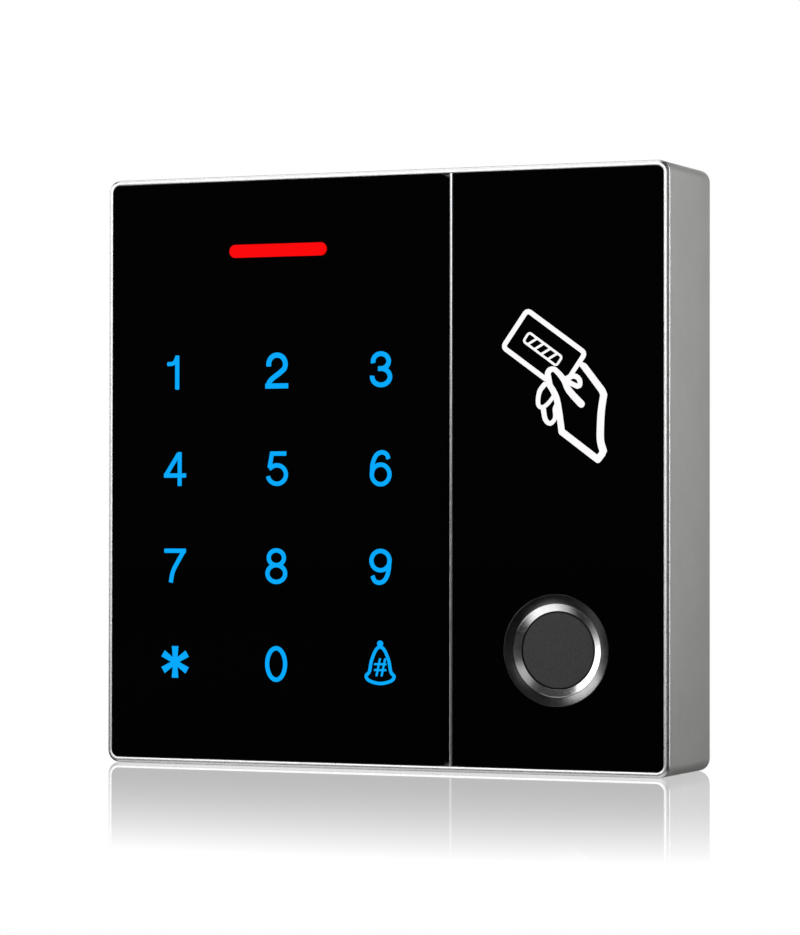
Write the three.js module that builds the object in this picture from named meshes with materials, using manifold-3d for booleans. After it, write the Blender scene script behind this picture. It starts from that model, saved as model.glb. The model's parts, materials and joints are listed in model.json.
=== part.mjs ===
// Wall reader for door access: a touch keypad behind black glass, a card reading panel beside it and
// a round fingerprint sensor, in one die-cast housing that hangs on a steel wall bracket.
// Millimetres, +Z up. The front faces -Y and the wall is the plane y = 0. The origin is the middle of
// the bracket's wall face.
import * as THREE from "three";
import { mergeVertices } from "three/addons/utils/BufferGeometryUtils.js";
import Module from "manifold-3d";

const wasm = await Module();
wasm.setup();

// Housing
const WIDTH = 120.5;
const HEIGHT = 118;
const DEPTH = 25;
const CORNER = 2.5;
const RIM = 1.08;
const WALL = 2.5;
const EDGE_ROUND = 0.4;
const FRONT = -DEPTH;
const HOUSING_REAR = -0.4;
const LEDGE_WIDTH = 3.5;
const LEDGE_FRONT = -22.4;
const LEDGE_REAR = -20.4;
const FIT = 0.15;

// Glass panels, with the bright rib that parts them
const GLASS_FRONT = -24.8;
const GLASS_THICKNESS = 2;
const GLASS_REAR = GLASS_FRONT + GLASS_THICKNESS;
const GLASS_ROUND = 0.25;
const RIB_LEFT = 14.96;
const RIB_RIGHT = 15.57;
const KEYPAD_GLASS_RIGHT = 14.1;
const RIB_WEB = 3;
const TAPE_WIDTH = 2.4;
const TAPE_INSET = 0.5;
const TAPE_AT_RIB = 0.3;
const GAP = 0.05;

// Touch keys
const KEY_PITCH_X = 22.6;
const KEY_PITCH_Z = 19.45;
const KEY_LEFT = -45;
const KEY_TOP = 19.8;
const LEGEND_THICKNESS = 0.1;
const LEGEND_REAR = GLASS_FRONT - 0.05;
const ARC_STEP = 22.5;

// Fingerprint sensor
const SENSOR_X = 37.1;
const SENSOR_Z = -35;
const SEAT_RADIUS = 10.9;
const BEZEL_RADIUS = 9.15;
const DISC_RADIUS = 7.35;

// Boards, cover and bracket
const BOARD = 1.6;
const TOUCH_BOARD_REAR = -19.5;
const TOUCH_BOARD_FRONT = TOUCH_BOARD_REAR - BOARD;
const MAIN_BOARD_REAR = -12.6;
const MAIN_BOARD_FRONT = MAIN_BOARD_REAR - BOARD;
const POST_X = 50.5;
const POST_ROWS = [24, -14];
const COVER_REAR = -2;
const COVER_THICKNESS = 2.2;
const COVER_FRONT = COVER_REAR - COVER_THICKNESS;
const COVER_SCREW_X = 52.6;
const COVER_SCREW_Z = 51.4;
const SHOULDER_REAR = -5.1;
const LOCK_HALF = 9.5;
const LOCK_TOP = -49.8;
const LOCK_Y = -6.4;
const CABLE_Z = -23;
const CABLE_RADIUS = 3.6;
const BRACKET = 1.5;
const HINGE_Z = 46;
const HOOK_X = 32;
const HOOK_HALF = 5;
const TAMPER_X = 30;
const TAMPER_Z = 25;

const CAVITY_X = WIDTH / 2 - WALL;
const CAVITY_Z = HEIGHT / 2 - WALL;

// ---- Solids: joining and cutting --------------------------------------------------------------

function solidOf(geometry) {
  const bare = geometry.clone();
  bare.deleteAttribute("normal");
  bare.deleteAttribute("uv");
  const merged = mergeVertices(bare, 1e-4);
  const corners = merged.index.array;
  const kept = [];
  for (let i = 0; i < corners.length; i += 3) {
    const [a, b, c] = [corners[i], corners[i + 1], corners[i + 2]];
    if (a !== b && b !== c && c !== a) kept.push(a, b, c);
  }
  const vertProperties = new Float32Array(merged.attributes.position.array);
  return new wasm.Manifold(
    new wasm.Mesh({ numProp: 3, vertProperties, triVerts: new Uint32Array(kept) }),
  );
}

function geometryOf(solid) {
  const mesh = solid.getMesh();
  const geometry = new THREE.BufferGeometry();
  geometry.setAttribute("position", new THREE.BufferAttribute(mesh.vertProperties, 3));
  geometry.setIndex(new THREE.BufferAttribute(mesh.triVerts, 1));
  geometry.computeVertexNormals();
  return geometry;
}

function joined(geometries) {
  return geometries.map(solidOf).reduce((whole, next) => whole.add(next));
}

function cut(whole, tools) {
  return tools.map(solidOf).reduce((rest, tool) => rest.subtract(tool), whole);
}

// ---- Shapes: drawn in x and z, given thickness along y ------------------------------------------

function roundedRect(width, height, radius, x = 0, z = 0) {
  const shape = new THREE.Shape();
  const [right, top] = [x + width / 2, z + height / 2];
  const [left, bottom] = [x - width / 2, z - height / 2];
  shape.moveTo(left + radius, bottom);
  shape.lineTo(right - radius, bottom);
  shape.absarc(right - radius, bottom + radius, radius, -Math.PI / 2, 0);
  shape.lineTo(right, top - radius);
  shape.absarc(right - radius, top - radius, radius, 0, Math.PI / 2);
  shape.lineTo(left + radius, top);
  shape.absarc(left + radius, top - radius, radius, Math.PI / 2, Math.PI);
  shape.lineTo(left, bottom + radius);
  shape.absarc(left + radius, bottom + radius, radius, Math.PI, Math.PI * 1.5);
  return shape;
}

function polygon(points) {
  return new THREE.Shape(points.map(([x, z]) => new THREE.Vector2(x, z)));
}

function plate(shape, front, rear, round = 0, curveSegments = 3) {
  const geometry = new THREE.ExtrudeGeometry(shape, {
    depth: rear - front - 2 * round,
    bevelEnabled: round > 0,
    bevelThickness: round,
    bevelSize: round,
    bevelOffset: -round,
    bevelSegments: 2,
    curveSegments,
  });
  geometry.rotateX(Math.PI / 2);
  geometry.translate(0, rear - round, 0);
  return geometry;
}

function block([x0, x1], [y0, y1], [z0, z1]) {
  const geometry = new THREE.BoxGeometry(x1 - x0, y1 - y0, z1 - z0);
  geometry.translate((x0 + x1) / 2, (y0 + y1) / 2, (z0 + z1) / 2);
  return geometry;
}

function rod(radius, [y0, y1], x, z, sides = 24) {
  const geometry = new THREE.CylinderGeometry(radius, radius, y1 - y0, sides);
  geometry.translate(x, (y0 + y1) / 2, z);
  return geometry;
}

function uprightRod(radius, [z0, z1], x, y, sides = 24) {
  const geometry = new THREE.CylinderGeometry(radius, radius, z1 - z0, sides);
  geometry.rotateX(Math.PI / 2);
  geometry.translate(x, y, (z0 + z1) / 2);
  return geometry;
}

// A turned piece about the y direction, from [radius, y] points in order of rising y on the outside.
function turned(profile, x, z, sides = 32) {
  const points = profile.map(([radius, y]) => new THREE.Vector2(radius, y));
  const geometry = new THREE.LatheGeometry(points, sides);
  geometry.translate(x, 0, z);
  return geometry;
}

function frame(outer, inner, front, rear) {
  const shape = outer.clone();
  shape.holes.push(inner);
  return plate(shape, front, rear);
}

// The outline inside the housing walls, drawn in by an inset, stepping round the lock block.
function cavityOutline(inset) {
  const [x, z] = [CAVITY_X - inset, CAVITY_Z - inset];
  const [notchX, notchZ] = [LOCK_HALF + inset, LOCK_TOP + inset];
  return polygon([
    [notchX, -z],
    [x, -z],
    [x, z],
    [-x, z],
    [-x, -z],
    [-notchX, -z],
    [-notchX, notchZ],
    [notchX, notchZ],
  ]);
}

// ---- Drawn lines: a stroke of even width along a path ---------------------------------------------

function arc(x, z, radiusX, radiusZ, from, to) {
  const steps = Math.max(2, Math.round(Math.abs(to - from) / ARC_STEP));
  return Array.from({ length: steps + 1 }, (_, i) => {
    const angle = THREE.MathUtils.degToRad(from + ((to - from) * i) / steps);
    return [x + radiusX * Math.cos(angle), z + radiusZ * Math.sin(angle)];
  });
}

function smooth(points, steps) {
  const curve = new THREE.SplineCurve(points.map(([x, z]) => new THREE.Vector2(x, z)));
  return curve.getPoints(steps).map((point) => [point.x, point.y]);
}

// Points moved sideways off the path by half the width, mitred at each corner.
function offsetPath(path, distance, closed) {
  const count = path.length;
  const at = (i) => new THREE.Vector2(...path[(i + count) % count]);
  return path.map((_, i) => {
    const before = closed || i > 0 ? at(i).sub(at(i - 1)).normalize() : null;
    const after = closed || i < count - 1 ? at(i + 1).sub(at(i)).normalize() : null;
    const along = (before ?? after).clone().add(after ?? before).normalize();
    const mitre = 1 / Math.max(0.5, along.dot(after ?? before));
    return [path[i][0] - along.y * distance * mitre, path[i][1] + along.x * distance * mitre];
  });
}

function stroke(path, width, closed = false) {
  const left = offsetPath(path, width / 2, closed);
  const right = offsetPath(path, -width / 2, closed).reverse();
  if (!closed) return polygon([...left, ...right]);
  const shape = polygon(right);
  shape.holes.push(polygon(left));
  return shape;
}

// Each drawing lists its strokes as [path, width, closed], about its own centre.
const THIN = 0.87;
const DRAWINGS = {
  1: [
    [[[0.9, 3.45], [0.9, -3.45]], 0.9],
    [[[-1.35, 1.73], [-0.2, 1.8], [0.4, 2.2], [0.85, 3.0]], 0.8],
  ],
  2: [
    [[[-1.75, 0.83], ...arc(0.08, 1.25, 1.83, 1.83, 180, -35), [0.57, -0.55], [-0.92, -1.6],
      [-1.62, -2.35], [-1.95, -3.5]], 1.02],
    [[[-2.48, -3.08], [2.53, -3.08]], 1.02],
  ],
  3: [
    [[...arc(-0.04, 1.6, 1.67, 1.47, 194, -90), [-0.65, 0.13]], 0.95],
    [arc(0, -1.47, 1.9, 1.6, 90, -188), 0.95],
  ],
  4: [
    [[[1.03, 3.42], [1.03, -3.42]], THIN],
    [[[-2.48, -1.31], [2.48, -1.31]], THIN],
    [[[0.85, 3.1], [-2.1, -1.3]], THIN],
  ],
  5: [
    [[[2.05, 2.98], [-1.1, 2.98], [-1.64, 0.1]], THIN],
    [[...arc(0, -1.2, 1.98, 1.84, 190, 495), [-1.65, 0.1]], THIN],
  ],
  6: [
    [arc(0, -1.23, 1.9, 1.93, 0, 337.5), THIN, true],
    [smooth([[-1.85, -1.2], [-1.7, 0.9], [-0.95, 2.55], [0.2, 3.12], [1.25, 2.75], [1.7, 1.8]], 9), THIN],
  ],
  7: [
    [[[-2.4, 2.98], [2.45, 2.98]], THIN],
    [smooth([[2.15, 3.2], [0.8, 1.04], [-0.46, -1.2], [-0.93, -3.42]], 6), THIN],
  ],
  8: [
    [arc(0, 1.68, 1.67, 1.47, 0, 337.5), THIN, true],
    [arc(0, -1.45, 1.95, 1.67, 0, 337.5), THIN, true],
  ],
  9: [
    [arc(0, 1.22, 1.95, 1.9, 0, 337.5), THIN, true],
    [smooth([[1.9, 1.2], [1.7, -0.9], [1, -2.5], [-0.15, -3.12], [-1.25, -2.75], [-1.7, -1.75]], 9), THIN],
  ],
  0: [
    [arc(0, 0, 1.97, 3.13, 0, 337.5), THIN, true],
  ],
  bell: [
    [[...smooth([[0, 3.1], [0.95, 2.45], [1.87, 0.35], [2.3, -1.75], [3, -2.65], [2.3, -3.55],
      [0, -4.07]], 11).slice(0, -1), ...smooth([[0, -4.07], [-2.3, -3.55], [-3, -2.65],
      [-2.3, -1.75], [-1.87, 0.35], [-0.95, 2.45], [0, 3.1]], 11).slice(0, -1)].reverse(), 0.65, true],
    [arc(0, 3.75, 0.32, 0.32, 0, 337.5), 0.63, true],
  ],
  hash: [
    [[[-0.8, -2.65], [0, 0.9]], 0.42],
    [[[0.3, -2.65], [1.1, 0.9]], 0.42],
    [[[-1.3, -0.28], [1.35, -0.28]], 0.4],
    [[[-1.3, -1.43], [1.35, -1.43]], 0.4],
  ],
};

// A hand that holds a card out.
const CARD_STROKE = 1.15;
const CARD_IN_HAND = [
  [[[-1.6, 1.3], [-9.9, 7.3], [-10.2, 8.3], [-6.3, 14.1], [-5.2, 14.3], [5.8, 6.6], [6.1, 5.7],
    [2.7, 1.2]], CARD_STROKE],
  [[[-1.5, 0.9], [-1.4, 2.4], [-0.6, 3.3], [0.4, 2.8], [2.1, 0.8], [3.4, -1.7], [5.3, -3.9]], CARD_STROKE],
  [[[-1.5, 0.9], [0.4, -2], [1.1, -5], [1.6, -8.9], [8.9, -14], [10.2, -12.3], [9.3, -9.8],
    [9.2, -6], [9.8, -1.8], [6.3, 3.6], [5.4, 4.2], [3.9, 2.9]], CARD_STROKE],
  [[[3.4, 1], [4.3, 1.9], [5.1, 0.9], [5, -0.4], [3.3, 0.6]], 1],
  [[[-1.6, 1], [-3, -0.7], [-3.4, -3.3], [-2.6, -4.2], [-1.5, -3.6], [-0.6, -1.7], [0.3, -1.4]], 1],
  [[[-2.4, -4], [-2.1, -6.2], [-1, -7.3], [0.1, -6.7], [0, -4.2], [0.6, -3]], 1],
];

// The strip drawn on that card, before it is turned to the card's slant.
const STRIP_LENGTH = 8.4;
const STRIP_HEIGHT = 2.1;
const STRIP_STROKE = 0.45;
const STRIP_SLANT = -35.5;
const STRIP_MARKS = [-2.6, -0.9, 0.8, 2.5];

function drawn(strokes, x, z) {
  const lines = strokes.map(([path, width, closed]) =>
    plate(stroke(path, width, closed), LEGEND_REAR - LEGEND_THICKNESS, LEGEND_REAR));
  return geometryOf(joined(lines).translate([x, 0, z]));
}

function cardStrip() {
  const [halfX, halfZ] = [STRIP_LENGTH / 2, STRIP_HEIGHT / 2];
  const edge = [[halfX, halfZ], [-halfX, halfZ], [-halfX, -halfZ], [halfX, -halfZ]];
  const marks = STRIP_MARKS.map((x) => [[[x - 0.5, -halfZ], [x + 0.5, halfZ]], STRIP_STROKE]);
  return drawn([[edge, STRIP_STROKE, true], ...marks], 0, 0);
}

// ---- Materials -------------------------------------------------------------------------------------

function finish(color, roughness, metalness) {
  return () => new THREE.MeshStandardMaterial({ color, roughness, metalness });
}

const castMetal = finish(0xb9babc, 0.42, 0.85);
const blackGlass = finish(0x050506, 0.06, 0);
const legendLight = finish(0x00a8ff, 0.4, 0);
const statusRed = finish(0xfd0002, 0.4, 0);
const printedWhite = finish(0xf4f4f4, 0.5, 0);
const darkPlastic = finish(0x1c1c1e, 0.55, 0);
const sensorFace = finish(0x39393a, 0.7, 0);
const turnedSteel = finish(0xc4c5c8, 0.25, 1);
const zincSteel = finish(0x9ea2a6, 0.4, 0.9);
const boardGreen = finish(0x0f4a2c, 0.5, 0.1);
const foamTape = finish(0x2a2a2c, 0.9, 0);
const milkyPlastic = finish(0xe6e8ea, 0.5, 0);
const copper = finish(0xb06a3a, 0.35, 0.9);
const ribbonFilm = finish(0xa8621c, 0.45, 0.1);
const blackRubber = finish(0x151515, 0.85, 0);
const whitePlastic = finish(0xd9d9d4, 0.5, 0);
const relayBlue = finish(0x2456a8, 0.45, 0);

const reader = new THREE.Group();

function add(name, geometry, material) {
  const mesh = new THREE.Mesh(geometry, material());
  mesh.name = name;
  reader.add(mesh);
}

// ---- Housing ---------------------------------------------------------------------------------------

const OPENING_X = WIDTH / 2 - RIM;
const OPENING_Z = HEIGHT / 2 - RIM;
const LEDGE_INNER_X = OPENING_X - LEDGE_WIDTH;
const LEDGE_INNER_Z = OPENING_Z - LEDGE_WIDTH;
const THROUGH = [FRONT - 1, 1];

function span(left, right) {
  return [right - left, (left + right) / 2];
}

function around(middle, size) {
  return [middle - size / 2, middle + size / 2];
}

function inOrder([a, b]) {
  return [Math.min(a, b), Math.max(a, b)];
}

function openingRect([left, right], halfHeight, radius) {
  const [width, middle] = span(left, right);
  return roundedRect(width, 2 * halfHeight, radius, middle, 0);
}

const OPENING_CORNER = 1.4;
const POST_HALF = 3.5;
const CORNER_BOSS = 3;
const TIE = 1;
const SCREW_PILOT = 1.35;
const COVER_PILOT = 1.45;

function frontHousing() {
  const shell = solidOf(
    plate(roundedRect(WIDTH, HEIGHT, CORNER), FRONT, HOUSING_REAR, EDGE_ROUND, 4),
  );
  const hollow = cut(shell, [
    plate(openingRect([-OPENING_X, RIB_LEFT], OPENING_Z, OPENING_CORNER), FRONT - 1, LEDGE_FRONT),
    plate(openingRect([RIB_RIGHT, OPENING_X], OPENING_Z, OPENING_CORNER), FRONT - 1, LEDGE_FRONT),
    block([-LEDGE_INNER_X, RIB_LEFT - RIB_WEB], [FRONT, LEDGE_REAR + 1], [-LEDGE_INNER_Z, LEDGE_INNER_Z]),
    block([RIB_RIGHT + RIB_WEB, LEDGE_INNER_X], [FRONT, LEDGE_REAR + 1], [-LEDGE_INNER_Z, LEDGE_INNER_Z]),
    block([-CAVITY_X, CAVITY_X], [LEDGE_REAR, 1], [-CAVITY_Z, CAVITY_Z]),
  ]);
  const posts = [-1, 1].flatMap((side) =>
    POST_ROWS.map((z) => {
      const x = [side * (POST_X - POST_HALF), side * (CAVITY_X + TIE)];
      return block(inOrder(x), [LEDGE_REAR + 1.2, MAIN_BOARD_FRONT - GAP], around(z, 8));
    }));
  const corners = [-1, 1].flatMap((sideX) =>
    [-1, 1].map((sideZ) => {
      const x = [sideX * (COVER_SCREW_X - CORNER_BOSS), sideX * (CAVITY_X + TIE)];
      const z = [sideZ * (COVER_SCREW_Z - CORNER_BOSS), sideZ * (CAVITY_Z + TIE)];
      return block(inOrder(x), [MAIN_BOARD_REAR + 0.3, SHOULDER_REAR], inOrder(z));
    }));
  const shoulder = frame(cavityOutline(-0.3), cavityOutline(2.6), SHOULDER_REAR - 2.1, SHOULDER_REAR);
  const lockBlock = block(
    [-LOCK_HALF, LOCK_HALF], [LEDGE_REAR + 1.4, COVER_REAR + 0.1], [-CAVITY_Z - TIE, LOCK_TOP]);
  const full = [...posts, ...corners, shoulder, lockBlock].map(solidOf)
    .reduce((whole, next) => whole.add(next), hollow);
  const postHoles = [-1, 1].flatMap((side) => POST_ROWS.map((z) =>
    rod(SCREW_PILOT, [MAIN_BOARD_FRONT - 4.4, MAIN_BOARD_FRONT + 1], side * POST_X, z, 12)));
  const bore = [SHOULDER_REAR - 6, SHOULDER_REAR + 1];
  const cornerHoles = [-1, 1].flatMap((sideX) => [-1, 1].map((sideZ) =>
    rod(COVER_PILOT, bore, sideX * COVER_SCREW_X, sideZ * COVER_SCREW_Z, 12)));
  const lugPocket = block([-8.6, 8.6], [-10.4, 1], [-54.9, -52.6]);
  return geometryOf(cut(full, [
    ...postHoles,
    ...cornerHoles,
    lugPocket,
    uprightRod(1.55, [-53, -50.4], 0, LOCK_Y, 16),
    uprightRod(2.65, [-58, -54], 0, LOCK_Y),
    uprightRod(3.3, [-60, -56.7], 0, LOCK_Y),
  ]));
}

add("front_housing", frontHousing(), castMetal);

// ---- Glass panels and what lies behind them -----------------------------------------------------------

const KEYPAD_SPAN = [-OPENING_X + FIT, KEYPAD_GLASS_RIGHT];
const READER_SPAN = [RIB_RIGHT + FIT, OPENING_X - FIT];
const GLASS_HALF = OPENING_Z - FIT;

function glass(sides) {
  return plate(openingRect(sides, GLASS_HALF, 1.25), GLASS_FRONT, GLASS_REAR, GLASS_ROUND);
}

add("keypad_glass", glass(KEYPAD_SPAN), blackGlass);
const sensorHole = rod(SEAT_RADIUS + 0.1, THROUGH, SENSOR_X, SENSOR_Z, 40);
add("reader_glass", geometryOf(cut(solidOf(glass(READER_SPAN)), [sensorHole])), blackGlass);

function tape([left, right], rightWidth = TAPE_WIDTH) {
  const sides = [left + TAPE_INSET, right - TAPE_AT_RIB];
  const half = GLASS_HALF - TAPE_INSET;
  const outer = openingRect(sides, half, 1);
  const inner = openingRect([sides[0] + TAPE_WIDTH, sides[1] - rightWidth], half - TAPE_WIDTH, 0.6);
  return frame(outer, inner, GLASS_REAR + GAP, LEDGE_FRONT - GAP);
}

add("keypad_glass_tape", tape(KEYPAD_SPAN, 1.8), foamTape);
add("reader_glass_tape", tape(READER_SPAN), foamTape);

const KEYS = [
  ["digit_1", DRAWINGS[1], 0, 0, -0.45, 0],
  ["digit_2", DRAWINGS[2], 1, 0, 0, 0.1],
  ["digit_3", DRAWINGS[3], 2, 0, 0.1, 0],
  ["digit_4", DRAWINGS[4], 0, 1, 0, 0],
  ["digit_5", DRAWINGS[5], 1, 1, 0.1, 0],
  ["digit_6", DRAWINGS[6], 2, 1, 0.05, 0],
  ["digit_7", DRAWINGS[7], 0, 2, 0, 0],
  ["digit_8", DRAWINGS[8], 1, 2, 0, 0],
  ["digit_9", DRAWINGS[9], 2, 2, 0.05, 0],
  ["digit_0", DRAWINGS[0], 1, 3, 0, 0],
  ["bell_symbol", DRAWINGS.bell, 2, 3, 0, 0.6],
  ["hash_symbol", DRAWINGS.hash, 2, 3, 0, 0.6],
];
for (const [name, strokes, column, row, shiftX, shiftZ] of KEYS) {
  const x = KEY_LEFT + column * KEY_PITCH_X + shiftX;
  const z = KEY_TOP - row * KEY_PITCH_Z + shiftZ;
  add(name, drawn(strokes, x, z), legendLight);
}

function starSymbol(x, z) {
  const arms = [90, 270, 32, 148, 212, 328].map((angle) => {
    const arm = plate(
      polygon([[-0.1, -0.42], [3.18, -0.72], [3.18, 0.72], [-0.1, 0.42]]),
      LEGEND_REAR - LEGEND_THICKNESS, LEGEND_REAR);
    arm.rotateY(THREE.MathUtils.degToRad(-angle));
    return arm;
  });
  return geometryOf(joined(arms).translate([x, 0, z]));
}

add("star_symbol", starSymbol(KEY_LEFT + 0.1, KEY_TOP - 3 * KEY_PITCH_Z + 0.05), legendLight);

const STATUS_X = -22.2;
const STATUS_Z = 43.9;
add(
  "status_light_window",
  plate(roundedRect(21.4, 2.6, 1.29, STATUS_X, STATUS_Z), LEGEND_REAR - LEGEND_THICKNESS, LEGEND_REAR),
  statusRed,
);

const CARD_X = 36.8;
const CARD_Z = 16;
add("card_symbol", drawn(CARD_IN_HAND, CARD_X, CARD_Z), printedWhite);
const strip = cardStrip();
strip.rotateY(THREE.MathUtils.degToRad(-STRIP_SLANT));
strip.translate(CARD_X - 2.4, 0, CARD_Z + 7.2);
add("card_strip_symbol", strip, printedWhite);

// Light guide, touch board and its lights
const GUIDE_SPAN = [-LEDGE_INNER_X + 0.4, RIB_LEFT - RIB_WEB - 0.3];
const GUIDE_HALF = LEDGE_INNER_Z - 0.4;
const LIGHTS = [[KEY_LEFT + KEY_PITCH_X, 1], [KEY_LEFT + KEY_PITCH_X, -1]];
const LIGHT_Z = GUIDE_HALF - 1;
// Sizes of the light packages in x, y and z
const KEY_LIGHT = [3.5, 1, 1.4];
const STATUS_LIGHT = [3.6, 0.7, 2.8];
const guide = cut(
  solidOf(plate(openingRect(GUIDE_SPAN, GUIDE_HALF, 1), GLASS_REAR + 0.1, TOUCH_BOARD_FRONT - 0.1)),
  [
    ...LIGHTS.map(([x, side]) =>
      block([x - 2.2, x + 2.2], THROUGH, [side * LIGHT_Z - 1.4, side * LIGHT_Z + 1.4])),
    block([STATUS_X - 12, STATUS_X + 12], THROUGH, [STATUS_Z - 2.5, STATUS_Z + 2.5]),
  ],
);
add("key_light_guide", geometryOf(guide), milkyPlastic);
const touchBoard = plate(openingRect(GUIDE_SPAN, GUIDE_HALF, 1), TOUCH_BOARD_FRONT, TOUCH_BOARD_REAR);
add("touch_board", touchBoard, boardGreen);
LIGHTS.forEach(([x, side], i) => {
  const z = side * LIGHT_Z;
  const depth = [TOUCH_BOARD_FRONT - GAP - KEY_LIGHT[1], TOUCH_BOARD_FRONT - GAP];
  const body = block(around(x, KEY_LIGHT[0]), depth, around(z, KEY_LIGHT[2]));
  add(`key_light_${i + 1}`, body, whitePlastic);
});
const statusDepth = [TOUCH_BOARD_FRONT - GAP - STATUS_LIGHT[1], TOUCH_BOARD_FRONT - GAP];
const statusBody = block(around(STATUS_X, STATUS_LIGHT[0]), statusDepth, around(STATUS_Z, STATUS_LIGHT[2]));
add("status_light", statusBody, whitePlastic);

// Card antenna behind the reader glass
const ANTENNA_SPAN = [RIB_RIGHT + RIB_WEB + 0.4, LEDGE_INNER_X - 0.4];
const ANTENNA_Z = 19;
const ANTENNA_HEIGHT = 66;
const [antennaWidth, antennaX] = span(...ANTENNA_SPAN);
const carrierOutline = roundedRect(antennaWidth, ANTENNA_HEIGHT, 2, antennaX, ANTENNA_Z);
add("antenna_carrier", plate(carrierOutline, GLASS_REAR + 0.1, GLASS_REAR + 1.3), darkPlastic);
add(
  "antenna_coil",
  frame(
    roundedRect(antennaWidth - 2, ANTENNA_HEIGHT - 2, 4, antennaX, ANTENNA_Z),
    roundedRect(antennaWidth - 9, ANTENNA_HEIGHT - 9, 2, antennaX, ANTENNA_Z),
    GLASS_REAR + 1.35, GLASS_REAR + 2.1,
  ),
  copper,
);

// ---- Fingerprint sensor ---------------------------------------------------------------------------------

const SENSOR_DIP = GLASS_FRONT + 0.6;
const SEAT_INNER = BEZEL_RADIUS + GAP;
const BEZEL_OUTER = BEZEL_RADIUS - GAP;
const BEZEL_INNER = DISC_RADIUS + 0.25;
const SEAT_REAR = LEDGE_REAR - 0.2;
const BEZEL_REAR = GLASS_REAR + 1;
add("sensor_seat_ring", turned([
  [SEAT_INNER, SENSOR_DIP], [SEAT_RADIUS - 0.15, GLASS_FRONT - 0.05], [SEAT_RADIUS, GLASS_FRONT + 0.1],
  [SEAT_RADIUS, SEAT_REAR], [SEAT_INNER, SEAT_REAR], [SEAT_INNER, SENSOR_DIP],
], SENSOR_X, SENSOR_Z, 40), darkPlastic);
add("sensor_bright_ring", turned([
  [BEZEL_INNER, SENSOR_DIP + 0.65], [BEZEL_OUTER - 0.15, SENSOR_DIP], [BEZEL_OUTER, SENSOR_DIP + 0.12],
  [BEZEL_OUTER, BEZEL_REAR], [BEZEL_INNER, BEZEL_REAR], [BEZEL_INNER, SENSOR_DIP + 0.65],
], SENSOR_X, SENSOR_Z, 40), turnedSteel);
const DISC_FRONT = GLASS_FRONT + 1.3;
const DISC_REAR = GLASS_FRONT + 2.2;
const MODULE_FRONT = GLASS_REAR + 0.25;
const MODULE_STEP = GLASS_REAR + 1.1;
const MODULE_REAR = -17.6;
const NUT_RADIUS = 12.7;
const NUT_BORE = SEAT_RADIUS + 0.1;
const SEAL_FRONT = GLASS_REAR + GAP;
const SEAL_REAR = GLASS_REAR + 0.6;
add("fingerprint_disc", turned([
  [0, DISC_FRONT], [DISC_RADIUS - 0.2, DISC_FRONT], [DISC_RADIUS, DISC_FRONT + 0.2],
  [DISC_RADIUS, DISC_REAR], [0, DISC_REAR],
], SENSOR_X, SENSOR_Z, 40), sensorFace);
add("sensor_module_body", turned([
  [0, MODULE_FRONT], [DISC_RADIUS, MODULE_FRONT], [DISC_RADIUS, MODULE_STEP],
  [BEZEL_OUTER - 0.1, MODULE_STEP], [BEZEL_OUTER - 0.1, MODULE_REAR], [0, MODULE_REAR],
], SENSOR_X, SENSOR_Z), darkPlastic);
add("sensor_board", rod(10, [MODULE_REAR + 0.1, MODULE_REAR + 1.1], SENSOR_X, SENSOR_Z, 32), boardGreen);
add("sensor_seal_ring", turned([
  [NUT_BORE, SEAL_FRONT], [NUT_RADIUS, SEAL_FRONT], [NUT_RADIUS, SEAL_REAR],
  [NUT_BORE, SEAL_REAR], [NUT_BORE, SEAL_FRONT],
], SENSOR_X, SENSOR_Z), blackRubber);
const nut = cut(
  solidOf(rod(NUT_RADIUS, [SEAL_REAR + GAP, GLASS_REAR + 2.1], SENSOR_X, SENSOR_Z, 36)),
  [
    rod(NUT_BORE, THROUGH, SENSOR_X, SENSOR_Z, 40),
    ...[-1, 1].map((side) => block(
      around(SENSOR_X, 2.4), THROUGH, around(SENSOR_Z + side * (NUT_RADIUS + 0.25), 2.1))),
  ],
);
add("sensor_nut", geometryOf(nut), zincSteel);

// Flat ribbon from the sensor board down the front of the main board, drawn in y and z
const RIBBON_HALF = 3;
const RIBBON_Z = -10.5;
const ribbonPath = [[-16.2, -29], [-16.2, -17], [-15.9, -15.6], [-15.9, -13.6]];
const ribbonShape = stroke(ribbonPath, 0.25);
const ribbon = new THREE.ExtrudeGeometry(ribbonShape, { depth: 2 * RIBBON_HALF, bevelEnabled: false });
ribbon.applyMatrix4(new THREE.Matrix4().makeBasis(
  new THREE.Vector3(0, 1, 0), new THREE.Vector3(0, 0, 1), new THREE.Vector3(1, 0, 0)));
ribbon.translate(SENSOR_X - RIBBON_HALF, 0, 0);
add("sensor_ribbon", ribbon, ribbonFilm);
const connectorDepth = [MAIN_BOARD_FRONT - 2.2, MAIN_BOARD_FRONT - GAP];
const connector = block(around(SENSOR_X, 9), connectorDepth, [RIBBON_Z - 2.9, RIBBON_Z + 2]);
add("sensor_connector", connector, whitePlastic);

// ---- Main board and what it carries ---------------------------------------------------------------

const MAIN_BOARD_WIDTH = 108;
const MAIN_BOARD_HEIGHT = 102.4;
const MAIN_BOARD_Z = 2.7;
const boardOutline = roundedRect(MAIN_BOARD_WIDTH, MAIN_BOARD_HEIGHT, 2, 0, MAIN_BOARD_Z);
const mainBoard = cut(
  solidOf(plate(boardOutline, MAIN_BOARD_FRONT, MAIN_BOARD_REAR)),
  [-1, 1].flatMap((side) => POST_ROWS.map((z) => rod(1.5, THROUGH, side * POST_X, z, 12))),
);
add("main_board", geometryOf(mainBoard), boardGreen);

const ON_BOARD = MAIN_BOARD_REAR + GAP;
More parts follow.
